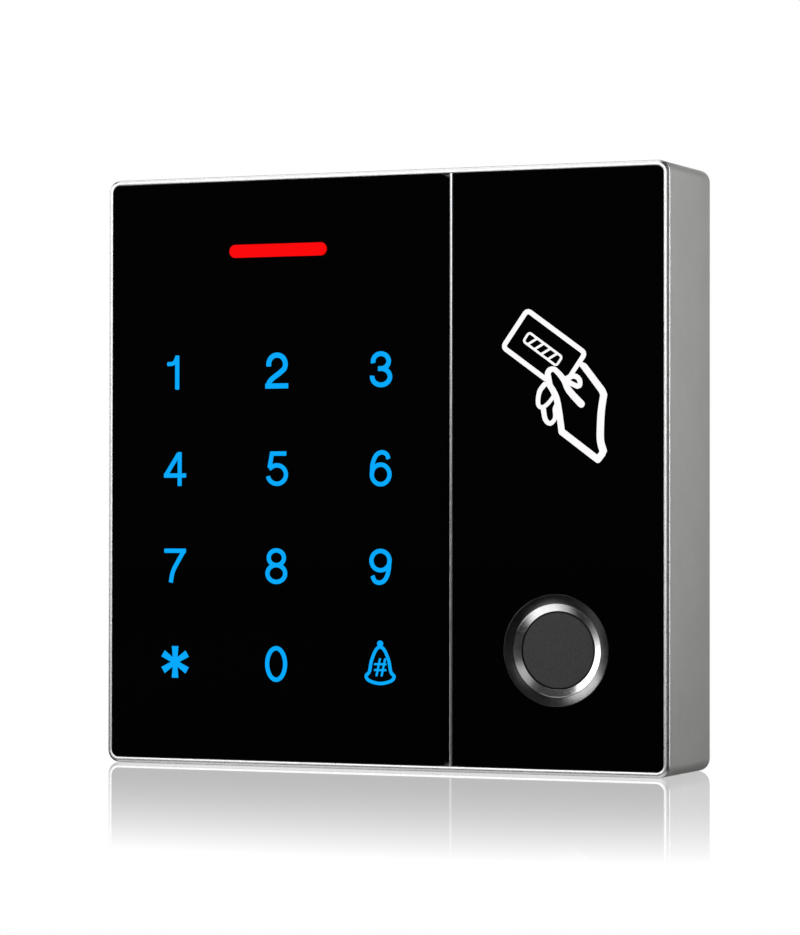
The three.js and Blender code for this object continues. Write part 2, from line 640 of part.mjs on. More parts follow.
// Parts standing on the board: x range, height, z range
const CHIP = [[-7, 7], 1.4, [8, 22]];
const RELAY = [[-44, -28], 7.6, [-40, -30]];
const HEADER = [[-14, 14], 6.2, [-30, -22]];
const BUZZER = { radius: 6, height: 6, hole: 1.3, deep: 1, x: -35, z: 10 };
const CAPACITOR = { radius: 4, height: 7.4, x: 30, z: -38 };

function standing([x, height, z]) {
  return block(x, [ON_BOARD, ON_BOARD + height], z);
}

add("processor_chip", standing(CHIP), darkPlastic);
add("door_relay", standing(RELAY), relayBlue);
add("wiring_header", standing(HEADER), whitePlastic);
const buzzerTop = ON_BOARD + BUZZER.height;
add("buzzer", turned([
  [0, ON_BOARD], [BUZZER.radius, ON_BOARD], [BUZZER.radius, buzzerTop], [BUZZER.hole, buzzerTop],
  [BUZZER.hole, buzzerTop - BUZZER.deep], [0, buzzerTop - BUZZER.deep],
], BUZZER.x, BUZZER.z, 24), darkPlastic);
const canLength = [ON_BOARD, ON_BOARD + CAPACITOR.height];
add("power_capacitor", rod(CAPACITOR.radius, canLength, CAPACITOR.x, CAPACITOR.z, 24), zincSteel);
const linkDepth = [TOUCH_BOARD_REAR + GAP, MAIN_BOARD_FRONT - GAP];
add("board_link", block([-32, -8], linkDepth, [-44, -40]), darkPlastic);

function screwGeometry(headRadius, headHeight, shankRadius, length) {
  return new THREE.LatheGeometry([
    [0, -length], [shankRadius, -length], [shankRadius, 0], [headRadius, 0],
    [headRadius, headHeight * 0.6], [headRadius * 0.8, headHeight], [headRadius * 0.4, headHeight],
    [headRadius * 0.4, headHeight * 0.4], [0, headHeight * 0.4],
  ].map(([radius, y]) => new THREE.Vector2(radius, y)), 12);
}

let boardScrews = 0;
for (const side of [-1, 1]) {
  for (const z of POST_ROWS) {
    const screw = screwGeometry(2.5, 1.5, 1.15, 5);
    screw.translate(side * POST_X, ON_BOARD, z);
    boardScrews += 1;
    add(`board_screw_${boardScrews}`, screw, zincSteel);
  }
}

// ---- Tamper switch: a sprung plunger that the wall presses in -------------------------------------------

const SWITCH_SIZE = 6;
const SWITCH_TOP = ON_BOARD + 3.9;
const SPRING_INNER = 1.6;
const SPRING_OUTER = 2.2;
const STEM = 1.4;
const COLLAR = 2.3;
const COLLAR_FRONT = -5.6;
const COLLAR_REAR = -4.45;
const TIP = 1.5;
const switchDepth = [ON_BOARD, SWITCH_TOP];
const switchBody = block(around(TAMPER_X, SWITCH_SIZE), switchDepth, around(TAMPER_Z, SWITCH_SIZE));
add("tamper_switch", switchBody, darkPlastic);
const springFront = SWITCH_TOP + 0.1;
const springRear = COLLAR_FRONT - GAP;
add("tamper_spring", turned([
  [SPRING_INNER, springFront], [SPRING_OUTER, springFront], [SPRING_OUTER, springRear],
  [SPRING_INNER, springRear], [SPRING_INNER, springFront],
], TAMPER_X, TAMPER_Z, 16), zincSteel);
add("tamper_plunger", turned([
  [0, COLLAR_FRONT - 1.4], [STEM, COLLAR_FRONT - 1.4], [STEM, COLLAR_FRONT], [COLLAR, COLLAR_FRONT],
  [COLLAR, COLLAR_REAR], [STEM, COLLAR_REAR], [STEM, TIP - 0.4], [STEM - 0.4, TIP], [0, TIP],
], TAMPER_X, TAMPER_Z, 20), whitePlastic);

// ---- Back cover, gasket and cable grommet ---------------------------------------------------------

const CABLE_HOLE = [30, 16];
const GROMMET_NECK = [29.7, 15.7];
const GROMMET_FLANGE = [33, 19];
const cableRect = (width, height, radius) => roundedRect(width, height, radius, 0, CABLE_Z);
const coverHoles = [-1, 1].flatMap((sideX) => [-1, 1].map((sideZ) => {
  const cone = new THREE.CylinderGeometry(2.75, 1.6, 1.5, 16);
  cone.translate(sideX * COVER_SCREW_X, COVER_REAR - 0.74, sideZ * COVER_SCREW_Z);
  return [cone, rod(1.6, THROUGH, sideX * COVER_SCREW_X, sideZ * COVER_SCREW_Z, 16)];
})).flat();
const cover = cut(
  solidOf(plate(cavityOutline(FIT), COVER_FRONT, COVER_REAR)),
  [
    ...coverHoles,
    plate(cableRect(...CABLE_HOLE, 3), ...THROUGH),
    rod(1.7, THROUGH, TAMPER_X, TAMPER_Z, 16),
    ...[-1, 1].map((side) =>
      block(around(side * HOOK_X, 2 * HOOK_HALF + 1.2), THROUGH, [HINGE_Z - 1.9, HINGE_Z + 2.2])),
  ],
);
add("back_cover", geometryOf(cover), darkPlastic);
const gasket = frame(cavityOutline(0.2), cavityOutline(2.4), SHOULDER_REAR + GAP, COVER_FRONT - GAP);
add("cover_gasket", gasket, blackRubber);

const grommet = cut(
  joined([
    plate(cableRect(...GROMMET_NECK, 2.9), COVER_FRONT - 0.5, COVER_REAR + 0.3),
    plate(cableRect(...GROMMET_FLANGE, 4), COVER_FRONT - 1.1, COVER_FRONT - GAP),
  ]),
  [rod(CABLE_RADIUS, THROUGH, 0, CABLE_Z, 24)],
);
add("cable_grommet", geometryOf(grommet), blackRubber);

let coverScrews = 0;
const SCREW_TIP = -10.6;
const SCREW_TOP = COVER_REAR - 0.12;
const SOCKET_FLOOR = COVER_REAR - 0.9;
for (const sideX of [-1, 1]) {
  for (const sideZ of [-1, 1]) {
    coverScrews += 1;
    add(`cover_screw_${coverScrews}`, turned([
      [0, SCREW_TIP], [1.3, SCREW_TIP], [1.3, COVER_REAR - 1.45], [2.5, SCREW_TOP],
      [0.9, SCREW_TOP], [0.9, SOCKET_FLOOR], [0, SOCKET_FLOOR],
    ], sideX * COVER_SCREW_X, sideZ * COVER_SCREW_Z, 16), zincSteel);
  }
}

// ---- Wall bracket and the screw that locks the reader to it ---------------------------------------------

const LUG_BOTTOM = -54.4;
const LUG = 1.5;
const LUG_FRONT = -9.4;
const GANG_SPACING = 83.3;
const BOX_SPACING = 60;
const SLOT = 4;
const SLOT_END = 1.99;
const UPPER_SLOT = 7;
const SIDE_SLOT = 9;
const BRACKET_WIDTH = 100;
const LUG_HALF = 7.5;
const LOCK_SLOT = 1.85;
const SHEET_HALF = 0.8;

function wallBracket() {
  const height = HINGE_Z + SHEET_HALF - LUG_BOTTOM;
  const outline = roundedRect(BRACKET_WIDTH, height, 3, 0, LUG_BOTTOM + height / 2);
  const sheet = plate(outline, -BRACKET, 0);
  const lugHeights = [LUG_BOTTOM - 1, LUG_BOTTOM + LUG + 1];
  const hooks = [-1, 1].flatMap((side) => {
    const x = around(side * HOOK_X, 2 * HOOK_HALF);
    return [
      block(x, [-5.6, -BRACKET / 2], [HINGE_Z - SHEET_HALF, HINGE_Z + SHEET_HALF]),
      block(x, [-6.6, -5.1], [HINGE_Z - SHEET_HALF, HINGE_Z + 3.4]),
    ];
  });
  const lug = block([-LUG_HALF, LUG_HALF], [LUG_FRONT, -BRACKET / 2], [LUG_BOTTOM, LUG_BOTTOM + LUG]);
  return geometryOf(cut(joined([sheet, ...hooks, lug]), [
    plate(cableRect(36, 24, 4), ...THROUGH),
    rod(3.2, THROUGH, TAMPER_X, TAMPER_Z, 20),
    ...[-1, 1].flatMap((side) => [
      plate(roundedRect(SLOT, UPPER_SLOT, SLOT_END, 0, side * GANG_SPACING / 2), ...THROUGH),
      plate(roundedRect(SLOT, SIDE_SLOT, SLOT_END, side * BOX_SPACING / 2, 0), ...THROUGH),
    ]),
    block([-LOCK_SLOT, LOCK_SLOT], [LUG_FRONT - 1, LOCK_Y], lugHeights),
    uprightRod(LOCK_SLOT, lugHeights, 0, LOCK_Y, 16),
  ]));
}

add("wall_bracket", wallBracket(), zincSteel);

const HEAD_FACE = -58.7;
const HEAD_TOP = -56.9;
const HEAD_RADIUS = 3.1;
const NECK_RADIUS = 2.4;
const NECK_TOP = LUG_BOTTOM - 0.3;
const THREAD_RADIUS = 1.4;
const THREAD_TOP = -50.6;
const lockScrew = new THREE.LatheGeometry([
  [0, HEAD_FACE + 0.6], [1.3, HEAD_FACE + 0.6], [1.3, HEAD_FACE], [HEAD_RADIUS - 0.3, HEAD_FACE],
  [HEAD_RADIUS, HEAD_FACE + 0.3], [HEAD_RADIUS, HEAD_TOP], [NECK_RADIUS, HEAD_TOP],
  [NECK_RADIUS, NECK_TOP], [THREAD_RADIUS, NECK_TOP], [THREAD_RADIUS, THREAD_TOP - 0.4],
  [THREAD_RADIUS - 0.4, THREAD_TOP], [0, THREAD_TOP],
].map(([radius, z]) => new THREE.Vector2(radius, z)), 20);
lockScrew.rotateX(Math.PI / 2);
lockScrew.translate(0, LOCK_Y, 0);
add("lock_screw", lockScrew, zincSteel);

export default reader;
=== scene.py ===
"""Looks of the wall reader: fine surfaces, finishes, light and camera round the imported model."""
import json
import math

import bmesh
import bpy
from mathutils import Matrix, Vector
from mathutils.geometry import convex_hull_2d


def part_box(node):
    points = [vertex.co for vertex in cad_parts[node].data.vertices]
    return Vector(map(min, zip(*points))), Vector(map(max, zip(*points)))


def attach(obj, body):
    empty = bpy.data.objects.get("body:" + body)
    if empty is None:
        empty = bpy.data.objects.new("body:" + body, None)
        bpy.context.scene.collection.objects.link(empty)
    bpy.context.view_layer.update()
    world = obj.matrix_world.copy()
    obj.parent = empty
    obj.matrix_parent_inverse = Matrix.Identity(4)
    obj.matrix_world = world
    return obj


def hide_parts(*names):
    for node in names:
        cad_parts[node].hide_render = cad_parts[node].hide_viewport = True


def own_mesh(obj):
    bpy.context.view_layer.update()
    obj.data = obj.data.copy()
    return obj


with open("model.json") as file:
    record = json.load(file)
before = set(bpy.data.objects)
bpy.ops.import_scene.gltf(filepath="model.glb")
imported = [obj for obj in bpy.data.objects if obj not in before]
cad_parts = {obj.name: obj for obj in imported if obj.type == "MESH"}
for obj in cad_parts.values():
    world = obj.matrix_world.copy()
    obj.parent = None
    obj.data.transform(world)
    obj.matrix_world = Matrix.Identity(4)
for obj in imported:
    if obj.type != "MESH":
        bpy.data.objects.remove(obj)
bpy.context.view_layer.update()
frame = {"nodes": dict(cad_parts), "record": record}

NODES = frame["nodes"]
MM = 0.001


def node_box(name):
    """Lowest and highest corner of a CAD node in millimetres."""
    low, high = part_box(name)
    return Vector(low) / MM, Vector(high) / MM


def node_centre(name):
    low, high = node_box(name)
    return (low + high) / 2


# ---- Driving sizes in millimetres, read off the frame where it has them --------------------------

HOUSING_LOW, HOUSING_HIGH = node_box("front_housing")
SENSOR = node_centre("sensor_seat_ring")
HALF_X = HOUSING_HIGH.x
HALF_Z = HOUSING_HIGH.z
FRONT = HOUSING_LOW.y
REAR = HOUSING_HIGH.y
FLOOR_Z = HOUSING_LOW.z
CORNER = 2.5            # radius of the housing's outer corners
RIM = 1.08              # width of its front rim
LEDGE_FRONT = -22.4     # the ledge that carries the glass


# ---- Meshes --------------------------------------------------------------------------------------

def new_object(name, mesh, body="housing"):
    piece = bpy.data.objects.new(name, mesh)
    bpy.context.scene.collection.objects.link(piece)
    if body:
        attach(piece, body)
    return piece


def weld(mesh, outward=True):
    """Joins the mesh's equal points and turns its faces outward."""
    work = bmesh.new()
    work.from_mesh(mesh)
    bmesh.ops.remove_doubles(work, verts=work.verts, dist=1e-7)
    if outward:
        bmesh.ops.recalc_face_normals(work, faces=work.faces)
    work.to_mesh(mesh)
    work.free()


def shade(mesh, smooth_angle):
    """Smooth shading that keeps edges sharper than smooth_angle degrees."""
    mesh.shade_smooth()
    mesh.set_sharp_from_angle(angle=math.radians(smooth_angle))


def mesh_from(name, points, faces, smooth_angle=None):
    """A mesh from points in millimetres, flat shaded where no smooth_angle is given."""
    mesh = bpy.data.meshes.new(name)
    mesh.from_pydata([Vector(p) * MM for p in points], [], faces)
    weld(mesh)
    if smooth_angle is not None:
        shade(mesh, smooth_angle)
    return mesh


def evaluated_mesh(holder):
    """The object's mesh after its modifiers, or a curve's as a mesh."""
    bpy.context.view_layer.update()
    return bpy.data.meshes.new_from_object(holder.evaluated_get(bpy.context.evaluated_depsgraph_get()))


def rounded_loop(half_x, half_z, radius, x=0.0, z=0.0, steps=12):
    """Points of a rounded rectangle in x and z, counter-clockwise."""
    loop = []
    for corner, (side_x, side_z) in enumerate([(1, 1), (-1, 1), (-1, -1), (1, -1)]):
        for i in range(steps + 1):
            angle = math.radians(90 * corner + 90 * i / steps)
            loop.append((
                x + side_x * (half_x - radius) + radius * math.cos(angle),
                z + side_z * (half_z - radius) + radius * math.sin(angle),
            ))
    return loop


def swept_ring(name, profile, half_x, half_z, smooth_angle):
    """A closed section carried round a rounded rectangle. The profile lists (inset, y, corner radius)."""
    loops = [rounded_loop(half_x - inset, half_z - inset, radius) for inset, _, radius in profile]
    points = [(x, y, z) for loop, (_, y, _) in zip(loops, profile) for x, z in loop]
    rows, count = len(profile), len(loops[0])
    faces = []
    for row in range(rows):
        a, b = row * count, (row + 1) % rows * count
        for i in range(count):
            j = (i + 1) % count
            faces.append((a + i, a + j, b + j, b + i))
    return mesh_from(name, points, faces, smooth_angle)


def lathe(name, profile, x, z, sides=128, smooth_angle=40):
    """A piece turned about the y direction. The profile of (radius, y) closes itself or meets the axis."""
    count = len(profile)
    points, faces = [], []
    for k in range(sides):
        turn = math.tau * k / sides
        points += [(x + r * math.cos(turn), y, z + r * math.sin(turn)) for r, y in profile]
        a, b = k * count, (k + 1) % sides * count
        faces += [(a + i, a + i + 1, b + i + 1, b + i) for i in range(count - 1)]
    return mesh_from(name, points, faces, smooth_angle)


def fillet(points, radius, steps=4):
    """Rounds the inner corners of an open (r, y) profile."""
    rounded = [points[0]]
    for before, here, after in zip(points, points[1:], points[2:]):
        p, a, b = Vector(here), Vector(before), Vector(after)
        reach = min(radius, (a - p).length * 0.45, (b - p).length * 0.45)
        start, end = p + (a - p).normalized() * reach, p + (b - p).normalized() * reach
        for i in range(steps + 1):
            t = i / steps
            rounded.append(tuple(start * (1 - t) ** 2 + p * 2 * t * (1 - t) + end * t ** 2))
    return rounded + [points[-1]]


def prism(name, outline, front, rear, holes=()):
    """A flat plate from an outline in x and z, with straight sides."""
    curve = flat_curve(name, [outline, *holes])
    curve.extrude = (rear - front) / 2 * MM
    return curve_mesh(name, curve, (front + rear) / 2)


def flat_curve(name, loops):
    """A filled curve from closed loops of x and z, the later ones holes in the first."""
    curve = bpy.data.curves.new(name, "CURVE")
    curve.dimensions = "2D"
    curve.fill_mode = "BOTH"
    for loop in loops:
        spline = curve.splines.new("POLY")
        spline.points.add(len(loop) - 1)
        for point, (px, pz) in zip(spline.points, loop):
            point.co = (px * MM, pz * MM, 0, 1)
        spline.use_cyclic_u = True
    return curve


def curve_mesh(name, curve, middle):
    """The curve's plate stood upright, its middle at that y, as a welded mesh."""
    holder = bpy.data.objects.new(name, curve)
    bpy.context.scene.collection.objects.link(holder)
    mesh = evaluated_mesh(holder)
    bpy.data.objects.remove(holder)
    bpy.data.curves.remove(curve)
    mesh.name = name
    mesh.transform(Matrix.Translation((0, middle * MM, 0)) @ Matrix.Rotation(math.pi / 2, 4, "X"))
    weld(mesh)
    return mesh


def circle(x, z, radius, steps=48):
    return [(x + radius * math.cos(math.tau * i / steps), z + radius * math.sin(math.tau * i / steps))
            for i in range(steps)]


def box_mesh(name, low, high):
    (x0, y0, z0), (x1, y1, z1) = low, high
    points = [(x, y, z) for x in (x0, x1) for y in (y0, y1) for z in (z0, z1)]
    faces = [(0, 1, 3, 2), (4, 6, 7, 5), (0, 4, 5, 1), (2, 3, 7, 6), (0, 2, 6, 4), (1, 5, 7, 3)]
    return mesh_from(name, points, faces)


def bar_mesh(name, section, ends, place, smooth_angle=None):
    """A bar with the same section all along. place(point of the section, end) gives a corner."""
    count = len(section)
    points = [place(point, end) for end in ends for point in section]
    faces = [tuple(range(count))[::-1], tuple(range(count, 2 * count))]
    faces += [(i, (i + 1) % count, count + (i + 1) % count, count + i) for i in range(count)]
    return mesh_from(name, points, faces, smooth_angle)


def combine(mesh, others, operation):
    """The mesh joined with, or cut by, each of the other meshes."""
    base = new_object("work", mesh, None)
    tools = [new_object("tool", other, None) for other in others]
    for tool in tools:
        step = base.modifiers.new("step", "BOOLEAN")
        step.operation = operation
        step.solver = "MANIFOLD"
        step.object = tool
    result = evaluated_mesh(base)
    result.name = mesh.name
    for piece in [base, *tools]:
        bpy.data.objects.remove(piece)
    return result


def soften(piece, width, segments=2, angle=40):
    """Rounds a piece's sharp edges by a modifier."""
    bevel = piece.modifiers.new("bevel", "BEVEL")
    bevel.width = width * MM
    bevel.segments = segments
    bevel.limit_method = "ANGLE"
    bevel.angle_limit = math.radians(angle)
    bevel.harden_normals = True


# ---- Drawn strokes -------------------------------------------------------------------------------

ARC_STEP = 6


def arc(x, z, radius_x, radius_z, start, end):
    steps = max(2, round(abs(end - start) / ARC_STEP))
    angles = [math.radians(start + (end - start) * i / steps) for i in range(steps + 1)]
    return [(x + radius_x * math.cos(a), z + radius_z * math.sin(a)) for a in angles]


def ring_path(x, z, radius_x, radius_z):
    return arc(x, z, radius_x, radius_z, 0, 360)[:-1]


def between_knots(p0, p1, p2, p3, steps):
    """Points of a Catmull-Rom curve from p1 up to p2."""
    return [tuple(0.5 * (2 * b + (c - a) * t + (2 * a - 5 * b + 4 * c - d) * t * t
                         + (3 * b - a - 3 * c + d) * t ** 3)
                  for a, b, c, d in zip(p0, p1, p2, p3))
            for t in (i / steps for i in range(steps))]


def smooth(knots, steps=8):
    """A curve through all the knots."""
    ends = [knots[0], *knots, knots[-1]]
    path = [point for four in zip(ends, ends[1:], ends[2:], ends[3:])
            for point in between_knots(*four, steps)]
    return path + [knots[-1]]


def smooth_closed(knots, steps=8):
    """A closed curve through all the knots."""
    count = len(knots)
    return [point for k in range(count)
            for point in between_knots(*(knots[(k + i - 1) % count] for i in range(4)), steps)]


def offset_path(path, distance, closed):
    """The path moved sideways to its left, mitred at its corners."""
    count = len(path)
    moved = []
    for i, here in enumerate(path):
        p = Vector(here)
        before = (p - Vector(path[i - 1])).normalized() if closed or i > 0 else None
        after = (Vector(path[(i + 1) % count]) - p).normalized() if closed or i < count - 1 else None
        along = ((before or after) + (after or before)).normalized()
        mitre = 1 / max(0.5, along.dot(after or before))
        moved.append((p.x - along.y * distance * mitre, p.y + along.x * distance * mitre))
    return moved


def end_arc(point, out, half, radius, steps=4):
    """The two rounded corners at a stroke's end, from its left side round to its right."""
    side = Vector((-out.y, out.x))
    corners = []
    for sign in (1, -1):
        centre = point + side * sign * (half - radius) - out * radius
        quarter = [centre + side * sign * radius * math.cos(a) + out * radius * math.sin(a)
                   for a in (math.pi / 2 * i / steps for i in range(steps + 1))]
        corners += quarter if sign == 1 else quarter[::-1]
    return [tuple(c) for c in corners]


def stroke_mesh(path, width, closed, end_round, front, rear):
    """A stroke of even width along the path, as a plate from front to rear."""
    if closed:
        outer, inner = offset_path(path, width / 2, True), offset_path(path, -width / 2, True)
        return prism("stroke", outer, front, rear, [inner])
    left, right = offset_path(path, width / 2, False), offset_path(path, -width / 2, False)
    start, end = Vector(path[0]), Vector(path[-1])
    out_end = (end - Vector(path[-2])).normalized()
    out_start = (start - Vector(path[1])).normalized()
    outline = (left[1:-1] + end_arc(end, out_end, width / 2, end_round)
               + right[1:-1][::-1] + end_arc(start, out_start, width / 2, end_round))
    return prism("stroke", outline, front, rear)


THIN = 0.87
BOLD = 1.02
SQUARE_END = 0.04
ROUND_END = 0.14


def line(path, width=THIN, end_round=ROUND_END):
    return path, width, False, end_round


def loop(path, width=THIN):
    return path, width, True, 0


def shape_of_bell():
    """The bell's outline: its right side from the top down to the foot, and the same mirrored."""
    right = [(0.95, 2.45), (1.87, 0.35), (2.3, -1.75), (3, -2.65), (2.3, -3.55)]
    return smooth_closed([(0, 3.1), *right, (0, -4.07), *[(-x, z) for x, z in right[::-1]]])


# The strokes of each legend, in millimetres from its own centre.
DRAWINGS = {
    "digit_1": [
        line([(0.9, 3.45), (0.9, -3.45)], 0.9, 0.22),
        line(smooth([(-1.35, 1.73), (-0.3, 1.78), (0.35, 2.12), (0.9, 3.2)]), 0.8, 0.22),
    ],
    "digit_2": [
        line([(-1.75, 0.83), *arc(0.08, 1.25, 1.83, 1.83, 180, -30),
              *smooth([(1.25, -0.05), (0.57, -0.55), (-0.92, -1.6), (-1.62, -2.35), (-1.95, -3.5)])],
             BOLD, SQUARE_END),
        line([(-2.48, -3.08), (2.53, -3.08)], BOLD, SQUARE_END),
    ],
    "digit_3": [
        line([*arc(-0.04, 1.6, 1.67, 1.47, 194, -90), (-0.65, 0.13)], 0.95, SQUARE_END),
        line(arc(0, -1.47, 1.9, 1.6, 90, -188), 0.95, SQUARE_END),
    ],
    "digit_4": [
        line([(1.03, 3.42), (1.03, -3.42)]),
        line([(-2.48, -1.31), (2.48, -1.31)]),
        line([(0.85, 3.1), (-2.1, -1.3)]),
    ],
    "digit_5": [
        line([(2.05, 2.98), (-1.1, 2.98), (-1.64, 0.1)]),
        line([*arc(0, -1.2, 1.98, 1.84, 190, 495), (-1.65, 0.1)]),
    ],
    "digit_6": [
        loop(ring_path(0, -1.23, 1.9, 1.93)),
        line(smooth([(-1.85, -1.2), (-1.7, 0.9), (-0.95, 2.55), (0.2, 3.12), (1.25, 2.75), (1.7, 1.8)])),
    ],
    "digit_7": [
        line([(-2.4, 2.98), (2.45, 2.98)]),
        line(smooth([(2.15, 3.2), (0.8, 1.04), (-0.46, -1.2), (-0.93, -3.42)])),
    ],
    "digit_8": [
        loop(ring_path(0, 1.68, 1.67, 1.47)),
        loop(ring_path(0, -1.45, 1.95, 1.67)),
    ],
    "digit_9": [
        loop(ring_path(0, 1.22, 1.95, 1.9)),
        line(smooth([(1.9, 1.2), (1.7, -0.9), (1, -2.5), (-0.15, -3.12), (-1.25, -2.75), (-1.7, -1.75)])),
    ],
    "digit_0": [loop(ring_path(0, 0, 1.97, 3.13))],
    "bell_symbol": [loop(shape_of_bell(), 0.65), loop(ring_path(0, 3.75, 0.32, 0.32), 0.63)],
    "hash_symbol": [
        *[line([(x, -2.65), (x + 0.8, 0.9)], 0.42, 0.1) for x in (-0.8, 0.3)],
        *[line([(-1.3, z), (1.35, z)], 0.4, 0.1) for z in (-0.28, -1.43)],
    ],
}


def hull_of_circles(first, second, sides=16):
    """The outline round two circles given as (x, z, diameter)."""
    rim = [p for x, z, wide in (first, second) for p in circle(x, z, wide / 2, sides)]
    return [rim[i] for i in convex_hull_2d(rim)]


# The card in a hand is drawn with a round pen, in millimetres from the middle of the drawing.
CARD_LENGTH, CARD_HEIGHT, CARD_CORNER = 14.7, 8.7, 0.75
CARD_SLANT = -35.5
CARD_MIDDLE = (-2.2, 7)
FINE, BROAD = 0.98, 1.42


def pen(path, width, last_width=None):
    """A stroke of a round pen, as (x, z, width), whose width changes evenly along the path."""
    change = (last_width or width) - width
    return [(x, z, width + change * i / (len(path) - 1)) for i, (x, z) in enumerate(path)]


def turned(path, degrees, x=0.0, z=0.0):
    """The path turned about its own origin and then moved to x, z."""
    c, s = math.cos(math.radians(degrees)), math.sin(math.radians(degrees))
    return [(x + px * c - pz * s, z + px * s + pz * c) for px, pz in path]


def card_strokes():
    """The card's edge, open where the thumb and the hand cover it."""
    half_x, half_z = CARD_LENGTH / 2, CARD_HEIGHT / 2
    three_corners = rounded_loop(half_x, half_z, CARD_CORNER, steps=3)[:12]
    edge = turned([*three_corners, (3.5, -half_z)], CARD_SLANT, *CARD_MIDDLE)
    side = turned([three_corners[0], (half_x, -1.7)], CARD_SLANT, *CARD_MIDDLE)
    return [pen(edge, FINE), pen(side, FINE, 0.82)]


def hand_strokes():
    """The hand that holds the card, from the back of the hand round to the finger tips."""
    back = [(6.1, 3.7), (9.8, -1), (10.1, -1.8)]
    wrist = smooth([(10.1, -1.8), (9.6, -5), (9.4, -9), (9.5, -10.9), (10, -12.5)], 3)
    cuff = [(10, -12.5), (9.8, -13.1), (8.9, -14.2), (1.5, -8.8)]
    palm = smooth([(1.5, -8.8), (0.7, -3.5), (0, -1.4), (-1, 0.2)], 3)
    thumb_tip = arc(-0.4, 2.3, 1, 1, 200, 50)
    thumb_base = smooth([thumb_tip[-1], (1.2, 2.1), (2.1, 0.9), (3, -0.9), (5.5, -3.5)], 3)
    knuckle = [(2.4, 1.4), *arc(3.9, 0.6, 1.35, 1.3, 120, -25), (4.7, -0.1), (3.6, 0.4), (2.7, 0.9)]
    first_finger = smooth([(-2, 0.4), (-3.1, -1), (-3.4, -3.3), (-2.6, -4.1), (-1.2, -3.2), (0, -1.6)], 3)
    second_finger = smooth([(-2.3, -4.4), (-1.9, -6.4), (-0.9, -7.2), (0.1, -6.2), (0, -4.4), (0.3, -3.6)], 3)
    return [
        pen([(5.3, 4.3), (6.1, 3.7)], 0.85, 1.3), pen(back, 1.3, BROAD), pen(wrist, BROAD, 1.5),
        pen(cuff, 1.35), pen(palm + thumb_tip, 1.3, 1.0), pen(thumb_base, 1.0, BROAD),
        pen(knuckle, 1.05, 0.95), pen(first_finger, 1.0, 0.72), pen(second_finger, 1.05, 0.65),
    ]


def card_in_hand():
    low, high = node_box("card_symbol")
    steps = [prism("step", hull_of_circles(a, b), low.y, high.y)
             for stroke in card_strokes() + hand_strokes() for a, b in zip(stroke, stroke[1:])]
    mesh = combine(steps[0], steps[1:], "UNION")
    return centred_on_node(mesh, "card_symbol")


def drawn_mesh(name, strokes):
    """The strokes as one flat piece, centred on the CAD node of that name."""
    low, high = node_box(name)
    meshes = [stroke_mesh(*stroke, low.y, high.y) for stroke in strokes]
    mesh = combine(meshes[0], meshes[1:], "UNION") if len(meshes) > 1 else meshes[0]
    return centred_on_node(mesh, name)


def centred_on_node(mesh, name):
    """The drawing moved so that its box is centred on the CAD node's."""
    xs, zs = [v.co.x for v in mesh.vertices], [v.co.z for v in mesh.vertices]
    middle = node_centre(name) * MM
    shift = (middle.x - (min(xs) + max(xs)) / 2, 0, middle.z - (min(zs) + max(zs)) / 2)
    mesh.transform(Matrix.Translation(shift))
    mesh.name = name
    return mesh


# ---- Finishes ------------------------------------------------------------------------------------

